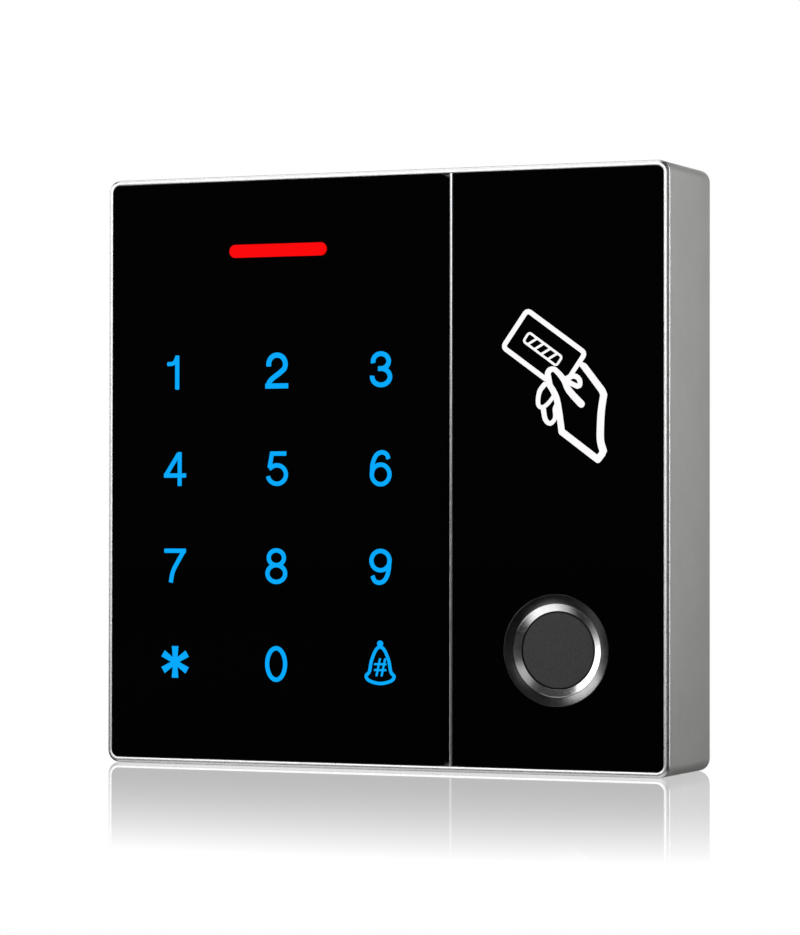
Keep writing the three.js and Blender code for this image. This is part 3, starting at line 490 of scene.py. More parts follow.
class Finish:
    """A node material being put together. Patterns follow the object's own coordinates."""

    def __init__(self, name):
        self.material = bpy.data.materials.new(name)
        self.material.use_nodes = True
        self.nodes = self.material.node_tree.nodes
        self.links = self.material.node_tree.links
        self.surface = self.nodes["Principled BSDF"]
        self.output = self.nodes["Material Output"]
        self.place = self.node("ShaderNodeTexCoord").outputs["Object"]

    def node(self, kind, settings=None, **inputs):
        made = self.nodes.new(kind)
        for key, value in (settings or {}).items():
            setattr(made, key, value)
        for key, value in inputs.items():
            self.set(made.inputs[key.replace("_", " ")], value)
        return made

    def set(self, socket, value):
        if isinstance(value, bpy.types.NodeSocket):
            self.links.new(value, socket)
        elif hasattr(value, "__len__") and len(value) == 3 and socket.type == "RGBA":
            socket.default_value = (*value, 1)
        else:
            socket.default_value = value

    def surface_values(self, **inputs):
        for key, value in inputs.items():
            self.set(self.surface.inputs[key.replace("_", " ")], value)

    def noise(self, size_mm, detail=3.0, stretch=None):
        """Cloudy noise from 0 to 1 whose features are about size_mm across."""
        place = self.place
        if stretch:
            place = self.node("ShaderNodeMapping", {"vector_type": "POINT"},
                              Vector=self.place, Scale=stretch).outputs["Vector"]
        made = self.node("ShaderNodeTexNoise", Vector=place, Scale=1 / (size_mm * MM), Detail=detail)
        return made.outputs["Factor"] if "Factor" in made.outputs else made.outputs["Fac"]

    def between(self, factor, low, high):
        """Noise, which keeps near its middle, spread over low to high."""
        return self.ramp(factor, 0.3, 0.7, low, high)

    def ramp(self, value, start, end, low, high, eased=False):
        """Low up to start, high from end on, and in between a straight or an eased change."""
        settings = {"interpolation_type": "SMOOTHSTEP"} if eased else None
        return self.node("ShaderNodeMapRange", settings, Value=value, From_Min=start, From_Max=end,
                         To_Min=low, To_Max=high).outputs["Result"]

    def mix_shaders(self, factor, first, second):
        made = self.node("ShaderNodeMixShader", Fac=factor)
        self.links.new(first, made.inputs[1])
        self.links.new(second, made.inputs[2])
        return made.outputs[0]

    def mix_colors(self, factor, low, high):
        made = self.node("ShaderNodeMix", {"data_type": "RGBA"}, Factor=factor)
        self.set(made.inputs[6], low)
        self.set(made.inputs[7], high)
        return made.outputs[2]

    def math(self, operation, a, b=0.0, c=0.0):
        made = self.node("ShaderNodeMath", {"operation": operation})
        for socket, value in zip(made.inputs, (a, b, c)):
            self.set(socket, value)
        return made.outputs[0]

    def times(self, a, b):
        return self.math("MULTIPLY", a, b)

    def add(self, a, b):
        return self.math("ADD", a, b)

    def length(self, a, b):
        return self.math("SQRT", self.add(self.math("POWER", a, 2.0), self.math("POWER", b, 2.0)))

    def vector(self, operation, a, b=(0, 0, 0)):
        made = self.node("ShaderNodeVectorMath", {"operation": operation})
        self.set(made.inputs[0], a)
        self.set(made.inputs[1], b)
        return made.outputs["Vector"]

    def axes(self):
        split = self.node("ShaderNodeSeparateXYZ", Vector=self.place)
        return split.outputs["X"], split.outputs["Y"], split.outputs["Z"]

    def bump(self, height, depth_mm, normal=None):
        made = self.node("ShaderNodeBump", Height=height, Strength=1.0, Distance=depth_mm * MM)
        if normal:
            self.set(made.inputs["Normal"], normal)
        return made.outputs["Normal"]


def grey(level):
    return (level,) * 3


def surface_finish(name, low, high, roughness, metallic=0.0, patch=6.0, grain=0.3, depth=0.01, **extra):
    """Colour that drifts from low to high in patches, uneven roughness and a fine grain."""
    look = Finish(name)
    look.surface_values(
        Base_Color=look.mix_colors(look.between(look.noise(patch), 0, 1), low, high),
        Roughness=look.between(look.noise(patch / 3), *roughness),
        Metallic=metallic,
        Normal=look.bump(look.noise(grain, 4), depth),
        **extra,
    )
    return look.material


EDGE_DEPTH = 0.75       # how far back from the front the polished edge of the housing reaches


def cast_paint():
    """Satin silver finish on die-cast metal, polished brighter along the front edge."""
    look = Finish("cast_silver_paint")
    flake = look.node("ShaderNodeTexVoronoi", Vector=look.place, Scale=1 / (0.12 * MM)).outputs["Color"]
    bright = look.node("ShaderNodeSeparateXYZ", Vector=flake).outputs["X"]
    tone = look.add(look.times(look.noise(9, 2), 0.7), look.times(bright, 0.3))
    _, y, _ = look.axes()
    edge_start = FRONT + EDGE_DEPTH
    edge = look.ramp(y, edge_start * MM, (edge_start - 0.15) * MM, 0.0, 1.0)
    satin = look.between(look.noise(3), 0.36, 0.44)
    polished = look.between(look.noise(0.5, 4), 0.26, 0.36)
    body = look.mix_colors(look.between(tone, 0, 1), (0.59, 0.585, 0.57), (0.64, 0.635, 0.62))
    trim = look.mix_colors(look.between(look.noise(0.4, 5), 0, 1), (0.76, 0.76, 0.755), (0.92, 0.92, 0.915))
    peel = look.bump(look.noise(0.9, 2), 0.008)
    look.surface_values(
        Base_Color=look.mix_colors(edge, body, trim),
        Roughness=look.add(satin, look.times(edge, look.math("SUBTRACT", polished, satin))),
        Metallic=look.math("MULTIPLY_ADD", edge, 0.7, 0.3),
        Normal=look.bump(look.noise(0.16, 5), 0.006, peel),
    )
    return look.material


def rib_metal():
    """The bright satin rib between the panels, drawn along its length; below its crest it is coloured near
    black as painted shade in the gap.
    """
    look = Finish("rib_satin_metal")
    lines = look.noise(0.12, 3, (1, 1, 0.02))
    _, y, _ = look.axes()
    # Painted shade: below the crest the flanks turn near black, standing in for the shadow in the gap.
    shaded_flanks = look.ramp(y, (FRONT + 0.3) * MM, (FRONT + 0.5) * MM, 0.0, 1.0)
    bright = look.mix_colors(look.between(look.noise(14, 2), 0, 1), (0.68, 0.69, 0.7), grey(0.8))
    look.surface_values(
        Base_Color=look.mix_colors(shaded_flanks, bright, grey(0.015)),
        Roughness=look.between(lines, 0.16, 0.24),
        Metallic=0.95,
        Normal=look.bump(lines, 0.003),
    )
    return look.material


def black_glass():
    """Polished glass printed black behind: a deep black under a clear, very faintly wavy surface."""
    look = Finish("black_glass")
    look.surface_values(
        Base_Color=look.mix_colors(look.between(look.noise(30, 1), 0, 1), grey(0.00005), grey(0.00015)),
        Roughness=look.between(look.noise(18, 2), 0.025, 0.05),
        IOR=1.3,
        Normal=look.bump(look.noise(24, 1), 0.003),
    )
    return look.material


def lit_window(name, color, patch=2.5):
    """A window lit from behind, a little uneven as light guides are. The white print is made to glow with it
    too, which is painted light.
    """
    look = Finish(name)
    look.surface_values(
        Base_Color=grey(0),
        Roughness=0.6,
        Specular_IOR_Level=0.1,
        Emission_Color=color,
        Emission_Strength=look.between(look.noise(patch, 1), 0.96, 1.0),
    )
    return look.material


def turned_metal(name, low, high, roughness, depth, anisotropic, ring_mm=0.3):
    """Metal turned on a lathe about the sensor's axis: fine rings and their stretched highlights."""
    look = Finish(name)
    from_axis = look.vector("SUBTRACT", look.place, (SENSOR.x * MM, 0, SENSOR.z * MM))
    split = look.node("ShaderNodeSeparateXYZ", Vector=from_axis)
    radius = look.length(split.outputs["X"], split.outputs["Z"])
    rings = look.math("SINE", look.times(radius, math.tau / (ring_mm * MM)))
    look.surface_values(
        Base_Color=look.mix_colors(look.between(look.noise(3), 0, 1), low, high),
        Roughness=look.between(look.noise(1.2), *roughness),
        Metallic=1.0,
        Anisotropic=anisotropic,
        Tangent=look.vector("NORMALIZE", look.vector("CROSS_PRODUCT", from_axis, (0, 1, 0))),
        Normal=look.bump(rings, depth),
    )
    return look.material


def sensing_disc():
    """The sensor's matt coating, with a faint dot grain."""
    look = Finish("sensor_coating")
    dots = look.node("ShaderNodeTexVoronoi", Vector=look.place, Scale=1 / (0.1 * MM)).outputs["Distance"]
    speck = look.between(look.noise(0.35, 4), 0, 1)
    look.surface_values(
        Base_Color=look.mix_colors(speck, (0.031, 0.031, 0.0315), (0.053, 0.053, 0.0535)),
        Roughness=look.between(look.noise(2), 0.5, 0.6),
        Specular_IOR_Level=0.35,
        Normal=look.bump(dots, 0.004),
    )
    return look.material


def circuit_board():
    """Solder mask over copper: traces show as a slightly lighter, raised grid, with tinned pads."""
    look = Finish("solder_mask")
    upright = look.node("ShaderNodeMapping", Vector=look.place, Rotation=(math.pi / 2, 0, 0))
    traces = look.node("ShaderNodeTexBrick", Vector=upright.outputs["Vector"], Scale=1 / (9 * MM),
                       Mortar_Size=0.04).outputs["Fac"]
    pads = look.node("ShaderNodeTexVoronoi", Vector=look.place, Scale=1 / (3.4 * MM)).outputs["Distance"]
    pad = look.math("LESS_THAN", pads, 0.16)
    mask = look.mix_colors(traces, (0.008, 0.07, 0.025), (0.02, 0.13, 0.05))
    look.surface_values(
        Base_Color=look.mix_colors(pad, mask, (0.55, 0.53, 0.48)),
        Roughness=look.between(look.noise(2), 0.3, 0.45),
        Metallic=pad,
        Normal=look.bump(traces, 0.03),
    )
    return look.material


def wound_copper():
    """Enamelled wire laid side by side round the coil."""
    look = Finish("coil_wire")
    x, _, z = look.axes()
    low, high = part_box("antenna_coil")
    middle, half = (low + high) / 2, (high - low) / 2

    def inset(along, centre, reach):
        """How far inside the coil's outer edge a point lies, along one axis."""
        from_centre = look.math("ABSOLUTE", look.math("SUBTRACT", along, centre))
        return look.math("SUBTRACT", reach, from_centre)

    lay = look.math("MINIMUM", inset(x, middle.x, half.x), inset(z, middle.z, half.z))
    turns = look.math("SINE", look.times(lay, math.tau / (0.35 * MM)))
    shade_of = look.between(look.noise(4), 0, 1)
    look.surface_values(
        Base_Color=look.mix_colors(shade_of, (0.42, 0.13, 0.045), (0.62, 0.24, 0.09)),
        Roughness=0.28,
        Metallic=0.9,
        Normal=look.bump(turns, 0.08),
    )
    return look.material


# Each look stands under the name of its material slot in the record.
LOOKS = {
    "cast_metal": cast_paint(),
    "black_glass": black_glass(),
    "foam_tape": surface_finish("foam_tape_black", grey(0.02), grey(0.035), (0.85, 0.95), 0, 4, 0.25, 0.06),
    "legend_blue": lit_window("legend_blue_light", (0.0, 0.402, 1.0)),
    "status_red": lit_window("status_red_light", (0.985, 0.0, 0.0006), 5),
    # Painted light: the white print glows by its own emission instead of being lit.
    "printed_white": lit_window("printed_white_ink", (1.0, 0.985, 0.985), 3),
    "milky_plastic": surface_finish("milky_guide", (0.72, 0.74, 0.76), grey(0.82), (0.3, 0.4),
                                    0, 8, 0.5, 0.01, Subsurface_Weight=0.3, Subsurface_Scale=0.002),
    "board_green": circuit_board(),
    "white_plastic": surface_finish("moulded_white", (0.62, 0.62, 0.58), (0.72, 0.72, 0.68), (0.38, 0.5),
                                    0, 5, 0.2, 0.008),
    "dark_plastic": surface_finish("moulded_black", grey(0.012), grey(0.019), (0.45, 0.6), 0, 7, 0.35, 0.02),
    "copper": wound_copper(),
    "ribbon_film": surface_finish("amber_film", (0.45, 0.16, 0.03), (0.58, 0.24, 0.05), (0.22, 0.32),
                                  0, 3, 0.5, 0.01, Coat_Weight=0.3),
    "turned_steel": turned_metal("turned_bright_steel", (0.82, 0.825, 0.83), (0.92, 0.92, 0.925),
                                 (0.14, 0.22), 0.0004, 0.6),
    "sensor_face": sensing_disc(),
    "black_rubber": surface_finish("moulded_rubber", grey(0.012), grey(0.022), (0.75, 0.9), 0, 3, 0.18, 0.02),
    "plated_steel": surface_finish("zinc_plating", (0.6, 0.61, 0.625), (0.66, 0.67, 0.68), (0.34, 0.42),
                                   0.55, 6, 0.7, 0.0015),
    "relay_blue": surface_finish("relay_case", (0.02, 0.075, 0.3), (0.03, 0.1, 0.36), (0.22, 0.32),
                                 0, 5, 0.3, 0.01),
}
SEAT_BLACK = turned_metal("seat_black_anodised", grey(0.19), grey(0.24), (0.2, 0.25), 0.0002, 0.0)
RIB_BRIGHT = rib_metal()


def paint(piece, look):
    piece.data.materials.clear()
    piece.data.materials.append(look)
    return piece


def stand_for(name, mesh, node, slot_name, body="housing", look=None):
    """A fine piece in place of a CAD node."""
    piece = new_object(name, mesh, body)
    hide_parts(node)
    return paint(piece, look or LOOKS[slot_name])


# ---- Housing and glass ---------------------------------------------------------------------------

def drop_custom_normals(mesh):
    if "custom_normal" in mesh.attributes:
        mesh.attributes.remove(mesh.attributes["custom_normal"])


def node_mesh(name):
    """A welded copy of a CAD node's mesh."""
    mesh = NODES[name].data.copy()
    mesh.materials.clear()
    drop_custom_normals(mesh)
    weld(mesh, outward=False)
    return mesh


def upright_cylinder(name, x, y, low, high, radius, sides=64):
    return bar_mesh(name, circle(x, y, radius, sides), (low, high), lambda point, z: (*point, z))


SKIN_INNER = 2.0        # how far inside the outer faces the fine skin ends
OPENING_CORNER = 1.5
LIP_ROUND = 0.08        # rounding of the rim's inner edge
CORE_INSET = 1.0        # how far inside the outer faces the CAD housing's core is kept
BORE_RADIUS, NECK_RADIUS = 3.3, 2.65
BORE_DEPTH, NECK_DEPTH = 2.3, 3.0


def housing():
    """The CAD housing's inside within a fine outer skin."""
    # From the back edge to the front: the rounded back, the side, the rolled front edge, the bevel.
    outside = [(0.4, REAR), (0.12, REAR - 0.1), (0, REAR - 0.42), (0, FRONT + 6), (0, FRONT + EDGE_DEPTH),
               (0.02, FRONT + 0.58), (0.07, FRONT + 0.45), (0.15, FRONT + 0.35), (0.26, FRONT + 0.29),
               (0.29, FRONT + 0.255), (0.46, FRONT + 0.035), (0.49, FRONT + 0.008), (0.53, FRONT)]
    profile = [(inset, y, max(CORNER - inset, 0.4)) for inset, y in outside]
    # Then the lip, and the inside of the opening down to the ledge and back.
    foot = LEDGE_FRONT + 0.3
    profile += [(RIM - LIP_ROUND, FRONT, OPENING_CORNER + LIP_ROUND),
                (RIM - 0.025, FRONT + 0.025, OPENING_CORNER + 0.02),
                (RIM, FRONT + LIP_ROUND, OPENING_CORNER), (RIM, foot, OPENING_CORNER),
                (SKIN_INNER, foot, 0.5), (SKIN_INNER, REAR, 0.5)]
    skin = swept_ring("skin", profile, HALF_X, HALF_Z, smooth_angle=28)
    core_low = (-HALF_X + CORE_INSET, FRONT + 2.2, -HALF_Z + CORE_INSET)
    core_high = (HALF_X - CORE_INSET, REAR + 1, HALF_Z - CORE_INSET)
    inside = combine(node_mesh("front_housing"), [box_mesh("core", core_low, core_high)], "INTERSECT")
    whole = combine(skin, [inside], "UNION")
    lock_y = node_centre("lock_screw").y
    below = FLOOR_Z - 1
    bore = upright_cylinder("bore", 0, lock_y, below, FLOOR_Z + BORE_DEPTH, BORE_RADIUS)
    neck = upright_cylinder("neck", 0, lock_y, below, FLOOR_Z + NECK_DEPTH, NECK_RADIUS)
    mesh = combine(whole, [bore, neck], "DIFFERENCE")
    shade(mesh, 28)
    return mesh


stand_for("housing_shell", housing(), "front_housing", "cast_metal")

RIB_LEFT, RIB_RIGHT = 14.96, 15.57
RIB_BEHIND_RIM = 0.04   # how far the rib's crest stands behind the housing's lip
RIB_OVERLAP = 0.2       # how far the rib's ends and foot go into the housing


def divider_rib():
    """The thin rib between the two panels, with a rounded crest."""
    half, middle = (RIB_RIGHT - RIB_LEFT) / 2, (RIB_RIGHT + RIB_LEFT) / 2
    foot = LEDGE_FRONT - FRONT + RIB_OVERLAP
    crest = [(-half, 0.13), (-half + 0.03, 0.06), (-half + 0.09, 0.02), (half - 0.2, 0),
             (half - 0.09, 0.015), (half - 0.03, 0.06), (half, 0.14)]
    section = [(-half, foot), *crest, (half, foot)]
    top = HALF_Z - RIM + RIB_OVERLAP
    return bar_mesh("divider_rib", section, (-top, top),
                    lambda point, z: (middle + point[0], FRONT + RIB_BEHIND_RIM + point[1], z), 50)


paint(new_object("divider_rib", divider_rib()), RIB_BRIGHT)


def gap_seal():
    """A near-black strip on the ledge, in the gap between the keypad glass and the rib: painted shade that
    darkens the gap.
    """
    _, glass_high = node_box("keypad_glass")
    end = HALF_Z - RIM - 0.3
    return box_mesh("gap_seal", (glass_high.x - 0.2, LEDGE_FRONT - 0.3, -end),
                    (RIB_LEFT - 0.02, LEDGE_FRONT + 0.05, end))


# Painted shade: this dark strip stands in for the shadow in the gap beside the rib.
soften(paint(new_object("gap_seal", gap_seal()), LOOKS["foam_tape"]), 0.08)


def glass_panel(name, node, holes=()):
    low, high = node_box(node)
    centre, half = (low + high) / 2, (high - low) / 2
    outline = rounded_loop(half.x, half.z, 1.3, centre.x, centre.z, 10)
    piece = stand_for(name, prism(name, outline, low.y, high.y, holes), node, "black_glass")
    soften(piece, 0.22, 3)


seat_low, seat_high = node_box("sensor_seat_ring")
ring_low, ring_high = node_box("sensor_bright_ring")
disc_low, disc_high = node_box("fingerprint_disc")
SEAT_RADIUS = (seat_high.x - seat_low.x) / 2
BEZEL_RADIUS = (ring_high.x - ring_low.x) / 2
DISC_RADIUS = (disc_high.x - disc_low.x) / 2

glass_panel("keypad_glass_panel", "keypad_glass")
glass_panel("reader_glass_panel", "reader_glass", [circle(SENSOR.x, SENSOR.z, SEAT_RADIUS + 0.1, 96)])


# ---- Legends -------------------------------------------------------------------------------------

for node, strokes in DRAWINGS.items():
    stand_for(f"lit_{node}", drawn_mesh(node, strokes), node, "legend_blue")


def star():
    """Six arms that widen outward, two of them upright."""
    low, high = node_box("star_symbol")
    arm = [(-0.1, -0.42), (3.18, -0.72), (3.18, 0.72), (-0.1, 0.42)]
    arms = [prism("arm", turned(arm, angle), low.y, high.y) for angle in (90, 270, 32, 148, 212, 328)]
    mesh = combine(arms[0], arms[1:], "UNION")
    centre = (low + high) / 2 * MM
    mesh.transform(Matrix.Translation((centre.x, 0, centre.z)))
    mesh.name = "star"
    return mesh


stand_for("lit_star_symbol", star(), "star_symbol", "legend_blue")


def status_bar():
    """The bar above the keys, with round ends."""
    low, high = node_box("status_light_window")
    centre, half = (low + high) / 2, (high - low) / 2
    outline = rounded_loop(half.x, half.z, half.z - 0.01, centre.x, centre.z)
    return prism("status_bar", outline, low.y, high.y)


stand_for("status_bar", status_bar(), "status_light_window", "status_red")
stand_for("card_in_hand", card_in_hand(), "card_symbol", "printed_white")


def card_strip():
    """The hatched strip on the drawn card."""
    half_x, half_z, width = 4.2, 1.05, 0.45
    edge = rounded_loop(half_x, half_z, 0.5, steps=4)
    marks = [[(x - 0.5, -half_z), (x + 0.5, half_z)] for x in (-2.6, -0.9, 0.8, 2.5)]
    strokes = [loop(turned(edge, CARD_SLANT), width)]
    strokes += [line(turned(mark, CARD_SLANT), width, 0.1) for mark in marks]
    return drawn_mesh("card_strip_symbol", strokes)


stand_for("card_strip", card_strip(), "card_strip_symbol", "printed_white")


# ---- Fingerprint sensor --------------------------------------------------------------------------

SHARP = 0.03            # rounding of a turned edge that looks sharp
SEAT_LIP = 0.12
BEZEL_LIP = 0.12
INNER_GAP = 0.25        # between the disc and the bezel


def sensor_lathe(name, node, slot_name, points, edge_radius, look=None):
    mesh = lathe(name, fillet(points, edge_radius), SENSOR.x, SENSOR.z)
    stand_for(name, mesh, node, slot_name, look=look)


# The seat's funnel from the bezel out to its lip, then its outer wall.
sensor_lathe("sensor_seat", "sensor_seat_ring", "dark_plastic", [
    (BEZEL_RADIUS + 0.02, seat_high.y),
    (BEZEL_RADIUS + 0.02, seat_low.y + 0.6),
    (SEAT_RADIUS - SEAT_LIP, seat_low.y + 0.06),
    (SEAT_RADIUS, seat_low.y + 0.18),
    (SEAT_RADIUS, seat_high.y),
    (BEZEL_RADIUS + 0.02, seat_high.y),
], SHARP, SEAT_BLACK)
# The bezel's bright slope up from the disc to a narrow crest.
sensor_lathe("sensor_bezel", "sensor_bright_ring", "turned_steel", [
    (DISC_RADIUS + INNER_GAP, ring_high.y),
    (DISC_RADIUS + INNER_GAP, ring_low.y + 0.72),
    (BEZEL_RADIUS - BEZEL_LIP, ring_low.y + 0.04),
    (BEZEL_RADIUS - 0.08, ring_low.y),
    (BEZEL_RADIUS, ring_low.y + 0.06),
    (BEZEL_RADIUS, ring_high.y),
    (DISC_RADIUS + INNER_GAP, ring_high.y),
], SHARP)
sensor_lathe("sensor_disc", "fingerprint_disc", "sensor_face", [
    (0, disc_low.y),
    (DISC_RADIUS - 0.15, disc_low.y),
    (DISC_RADIUS, disc_low.y + 0.15),
    (DISC_RADIUS, disc_high.y),
    (0, disc_high.y),
], 0.12)


# ---- Tamper spring -------------------------------------------------------------------------------

SPRING_TURNS = 3.5
CLOSED_TURN = 0.75      # the part of a turn that lies flat at each end
WIRE_RADIUS = 0.15
spring_low, spring_high = node_box("tamper_spring")


def tamper_spring():
    """The coil round the tamper plunger, its ends closed flat."""
    middle = (spring_low + spring_high) / 2
    coil_radius = (spring_high.x - spring_low.x) / 2 - WIRE_RADIUS
    bottom, top = spring_low.y + WIRE_RADIUS, spring_high.y - WIRE_RADIUS
    steps, sides = round(32 * SPRING_TURNS), 8
    points = []
    for k in range(steps + 1):
        turns = SPRING_TURNS * k / steps
        lift = min(1.0, max(0.0, (turns - CLOSED_TURN) / (SPRING_TURNS - 2 * CLOSED_TURN)))
        y, turn = bottom + (top - bottom) * lift, math.tau * turns
        for i in range(sides):
            a = math.tau * i / sides
            r = coil_radius + WIRE_RADIUS * math.cos(a)
            points.append((middle.x + r * math.cos(turn), y + WIRE_RADIUS * math.sin(a),
                           middle.z + r * math.sin(turn)))
    faces = []
    for k in range(steps):
        a, b = k * sides, (k + 1) * sides
        faces += [(a + i, a + (i + 1) % sides, b + (i + 1) % sides, b + i) for i in range(sides)]
    faces += [tuple(range(sides)), tuple(range(steps * sides, (steps + 1) * sides))[::-1]]
    return mesh_from("spring_coil", points, faces, 50)


spring = stand_for("spring_coil", tamper_spring(), "tamper_spring", "plated_steel")
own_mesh(spring)


# ---- CAD nodes that stay -------------------------------------------------------------------------

def refine(piece, width):
    """Welds the node's triangles, merges its flat faces and rounds its edges, all by modifiers."""
    drop_custom_normals(piece.data)
    piece.data.shade_smooth()
    welded = piece.modifiers.new("weld", "WELD")
    welded.merge_threshold = 1e-6
    flat = piece.modifiers.new("flat_faces", "DECIMATE")
    flat.decimate_type = "DISSOLVE"
    flat.angle_limit = math.radians(0.5)
    soften(piece, width, angle=32)


EDGE = 0.12             # rounding of a node's edges, where it isn't listed here
EDGES = {"wall_bracket": 0.25, "back_cover": 0.3, "cable_grommet": 0.3, "main_board": 0.08,
         "touch_board": 0.08}
slots = {row["node"]: row["material_slot"] for row in frame["record"]["subparts"]}
for node, piece in NODES.items():
    paint(piece, LOOKS[slots[node]])
    if not piece.hide_render:
        refine(piece, EDGES.get(node, EDGE))


# ---- Stage, light and camera ---------------------------------------------------------------------

FLOOR_SIZE = 6.0        # metres, as are the lengths below
FLOOR_DROP = 0.00001    # how far the floor lies below the housing
GLOSS_AT_CONTACT = 0.5
GLOSS_REACH = 0.175


def camera_gloss(look, x, y, facing):
    """The mirrored share of the floor: most at the housing's foot, none behind it or in steep views."""
    def beyond(along, centre, half):
        distance = look.math("ABSOLUTE", look.math("SUBTRACT", along, centre))
        return look.math("MAXIMUM", look.math("SUBTRACT", distance, half), 0.0)

    half_y, middle_y = (REAR - FRONT) / 2 * MM, (FRONT + REAR) / 2 * MM
    away = look.length(beyond(x, 0.0, HALF_X * MM), beyond(y, middle_y, half_y))
    spread = look.math("POWER", look.math("MINIMUM", look.math("DIVIDE", away, GLOSS_REACH), 1.0), 2.2)
    share = look.times(look.math("SUBTRACT", 1.0, spread), GLOSS_AT_CONTACT)
    level_view = look.ramp(facing, 0.77, 0.85, 0.12, 1.0)
    before_wall = look.ramp(y, 0.0, 0.012, 1.0, 0.0)
    return look.times(look.times(share, level_view), before_wall)


def bounce_level(look, x, y, facing):
    """How bright the object sees the floor, by place and by how steeply it looks down at it."""
    steep = look.ramp(facing, 0.25, 0.42, 1.0, 0.0, eased=True)
    right_part = look.ramp(x, 0.008, 0.03, 0.08, 1.15, eased=True)
    front_part = look.ramp(y, -0.035, -0.022, 1.0, 0.25, eased=True)
    under = look.ramp(facing, 0.08, 0.2, 0.75, 0.0, eased=True)
    left_part = look.ramp(x, -0.045, 0.03, 1.6, 0.9, eased=True)
    ahead = look.times(steep, look.times(right_part, front_part))
    return look.math("MAXIMUM", ahead, look.times(under, left_part))


def floor():
    """A white glossy floor whose reflection fades away from the object's foot. It is clear from below."""
    bpy.ops.mesh.primitive_plane_add(size=FLOOR_SIZE, location=(0, 0, FLOOR_Z * MM - FLOOR_DROP))
    plane = bpy.context.object
    plane.name = "studio_floor"
    look = Finish("white_gloss_floor")
    x, y, _ = look.axes()
    facing = look.node("ShaderNodeLayerWeight", Blend=0.5).outputs["Facing"]
    seen = look.node("ShaderNodeLightPath").outputs["Is Camera Ray"]
    white, gloss, lit, mirror, clear = (look.node(kind, **inputs).outputs[0] for kind, inputs in (
        ("ShaderNodeEmission", {"Color": (1, 1, 1, 1), "Strength": 1.0}),
        ("ShaderNodeBsdfAnisotropic", {"Color": (1, 1, 1, 1), "Roughness": 0.03}),
        ("ShaderNodeEmission", {"Color": (1, 1, 1, 1), "Strength": bounce_level(look, x, y, facing)}),
        ("ShaderNodeBsdfAnisotropic", {"Color": (1, 1, 1, 1), "Roughness": 0.15}),
        ("ShaderNodeBsdfTransparent", {}),
    ))
    to_camera = look.mix_shaders(camera_gloss(look, x, y, facing), white, gloss)
    glancing = look.times(look.math("POWER", facing, 6.0), 0.9)
    to_object = look.mix_shaders(glancing, lit, mirror)
    above = look.mix_shaders(seen, to_object, to_camera)
    from_below = look.times(look.node("ShaderNodeNewGeometry").outputs["Backfacing"], seen)
    look.set(look.output.inputs["Surface"], look.mix_shaders(from_below, above, clear))
    plane.data.materials.append(look.material)


floor()


def towards(azimuth, elevation):
    """The direction of that azimuth and elevation. Azimuth 0 is in front of the object, 90 on its right."""
    a, e = math.radians(azimuth), math.radians(elevation)
    return Vector((math.sin(a) * math.cos(e), -math.cos(a) * math.cos(e), math.sin(e)))


ROOM_BASE = 0.045
# Soft glows of the room: azimuth, elevation, bright core, reach (degrees) and strength.
ROOM = [
    (203, 4, 12, 24, 1.0),
    (157, 2, 10, 30, 0.45),
    (25, 27, 4, 19, 0.45),
]


def studio_world():
    """White to the eye. What surfaces see is a dark room with a few soft glows."""
    world = bpy.data.worlds.new("studio")
    bpy.context.scene.world = world
    world.use_nodes = True
    nodes, links = world.node_tree.nodes, world.node_tree.links
    nodes.clear()

    def node(kind, **values):
        made = nodes.new(kind)
        for key, value in values.items():
            if hasattr(made, key):
                setattr(made, key, value)
            else:
                made.inputs[key].default_value = value
        return made

    direction = node("ShaderNodeTexCoord").outputs["Generated"]
    total = None
    for azimuth, elevation, core, reach, strength in ROOM:
        facing = node("ShaderNodeVectorMath", operation="DOT_PRODUCT")
        links.new(direction, facing.inputs[0])
        facing.inputs[1].default_value = towards(azimuth, elevation)
        glow = node("ShaderNodeMapRange", interpolation_type="SMOOTHSTEP")
        links.new(facing.outputs["Value"], glow.inputs["Value"])
        glow.inputs["From Min"].default_value = math.cos(math.radians(reach))
        glow.inputs["From Max"].default_value = math.cos(math.radians(core))
        glow.inputs["To Max"].default_value = strength
        level = node("ShaderNodeMath", operation="ADD")
        links.new(glow.outputs["Result"], level.inputs[0])
        if total:
            links.new(total, level.inputs[1])
        else:
            level.inputs[1].default_value = ROOM_BASE
        total = level.outputs[0]
    room = node("ShaderNodeBackground")
    links.new(total, room.inputs["Strength"])
    room.inputs["Color"].default_value = (1, 1, 1, 1)
    white = node("ShaderNodeBackground")
    white.inputs["Strength"].default_value = 1.0
    white.inputs["Color"].default_value = (1, 1, 1, 1)
    rays = node("ShaderNodeLightPath")
    mix = node("ShaderNodeMixShader")
    links.new(rays.outputs["Is Camera Ray"], mix.inputs[0])
    links.new(room.outputs[0], mix.inputs[1])
    links.new(white.outputs[0], mix.inputs[2])
    output = node("ShaderNodeOutputWorld")
    links.new(mix.outputs[0], output.inputs["Surface"])


studio_world()


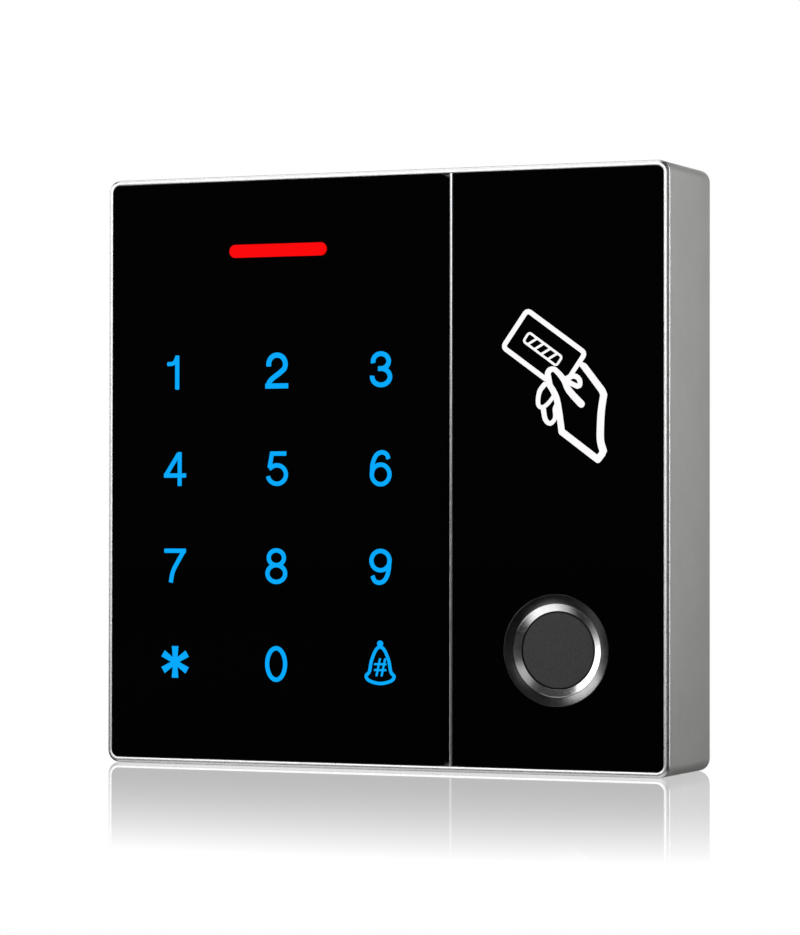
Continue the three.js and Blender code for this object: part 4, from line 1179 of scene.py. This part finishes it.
def softbox(name, azimuth, elevation, distance, size, radiance, mirrored=True, scattered=True, only=()):
    """An area light aimed at the object. Only names the pieces it reaches, where it doesn't reach all."""
    light = bpy.data.lights.new(name, "AREA")
    light.shape = "RECTANGLE"
    light.size, light.size_y = size
    light.energy = math.pi * size[0] * size[1] * radiance
    lamp = bpy.data.objects.new(name, light)
    bpy.context.scene.collection.objects.link(lamp)
    away = towards(azimuth, elevation)
    lamp.location = away * distance
    lamp.rotation_mode = "QUATERNION"
    lamp.rotation_quaternion = away.to_track_quat("Z", "Y")
    lamp.visible_glossy = mirrored
    lamp.visible_diffuse = scattered
    if only:
        receivers = bpy.data.collections.new(name + "_receivers")
        for receiver in only:
            receivers.objects.link(bpy.data.objects[receiver])
        lamp.light_linking.receiver_collection = receivers


softbox("front_fill", -18, 14, 1.2, (1.0, 1.0), 3.0, mirrored=False)
softbox("side_fill", 95, 20, 0.34, (0.2, 0.2), 2.7, mirrored=False)
softbox("rim_light", -17, 2, 0.8, (0.42, 0.68), 1.75, scattered=False, only=("housing_shell",))
softbox("rib_light", -23, 21, 0.8, (0.4, 0.5), 2.0, scattered=False, only=("divider_rib",))
softbox("left_back", -113, 8, 0.9, (0.4, 0.6), 1.0, scattered=False, only=("housing_shell",))
softbox("left_window", -75, 5, 1.0, (0.42, 1.04), 2.3)
softbox("front_window", -49, 22, 1.0, (0.46, 0.44), 2.7)
softbox("overhead", -80, 72, 1.0, (0.7, 0.7), 1.3, scattered=False)
softbox("right_strip", 110, 10, 1.0, (0.16, 1.1), 7.5, scattered=False)
softbox("chamfer_light", 66, 0, 0.9, (0.3, 0.7), 0.26, scattered=False, only=("housing_shell",))
softbox("rear_key", 200, 28, 1.2, (0.8, 0.6), 5.0, mirrored=False)


def camera():
    """The view: from the right, a little below the middle, through a long lens."""
    turn, pitch, roll = math.radians(23.378), math.radians(0.81), math.radians(0.0775)
    level = Vector((-math.sin(turn), math.cos(turn), 0))
    side = Vector((math.cos(turn), math.sin(turn), 0))
    up = Vector((0, 0, 1))
    forward = level * math.cos(pitch) + up * math.sin(pitch)
    upward = up * math.cos(pitch) - level * math.sin(pitch)
    right = side * math.cos(roll) + upward * math.sin(roll)
    upward = upward * math.cos(roll) - side * math.sin(roll)
    data = bpy.data.cameras.new("view")
    data.sensor_width = 36
    data.lens = 142.8
    data.clip_start, data.clip_end = 0.01, 50
    holder = bpy.data.objects.new("view", data)
    bpy.context.scene.collection.objects.link(holder)
    place = Vector((293.3, FRONT - 668.2, -9.85)) * MM
    aim = Matrix((right, upward, -forward)).transposed()
    holder.matrix_world = Matrix.Translation(place) @ aim.to_4x4()
    bpy.context.scene.camera = holder


camera()
bpy.context.scene.view_settings.view_transform = "Standard"
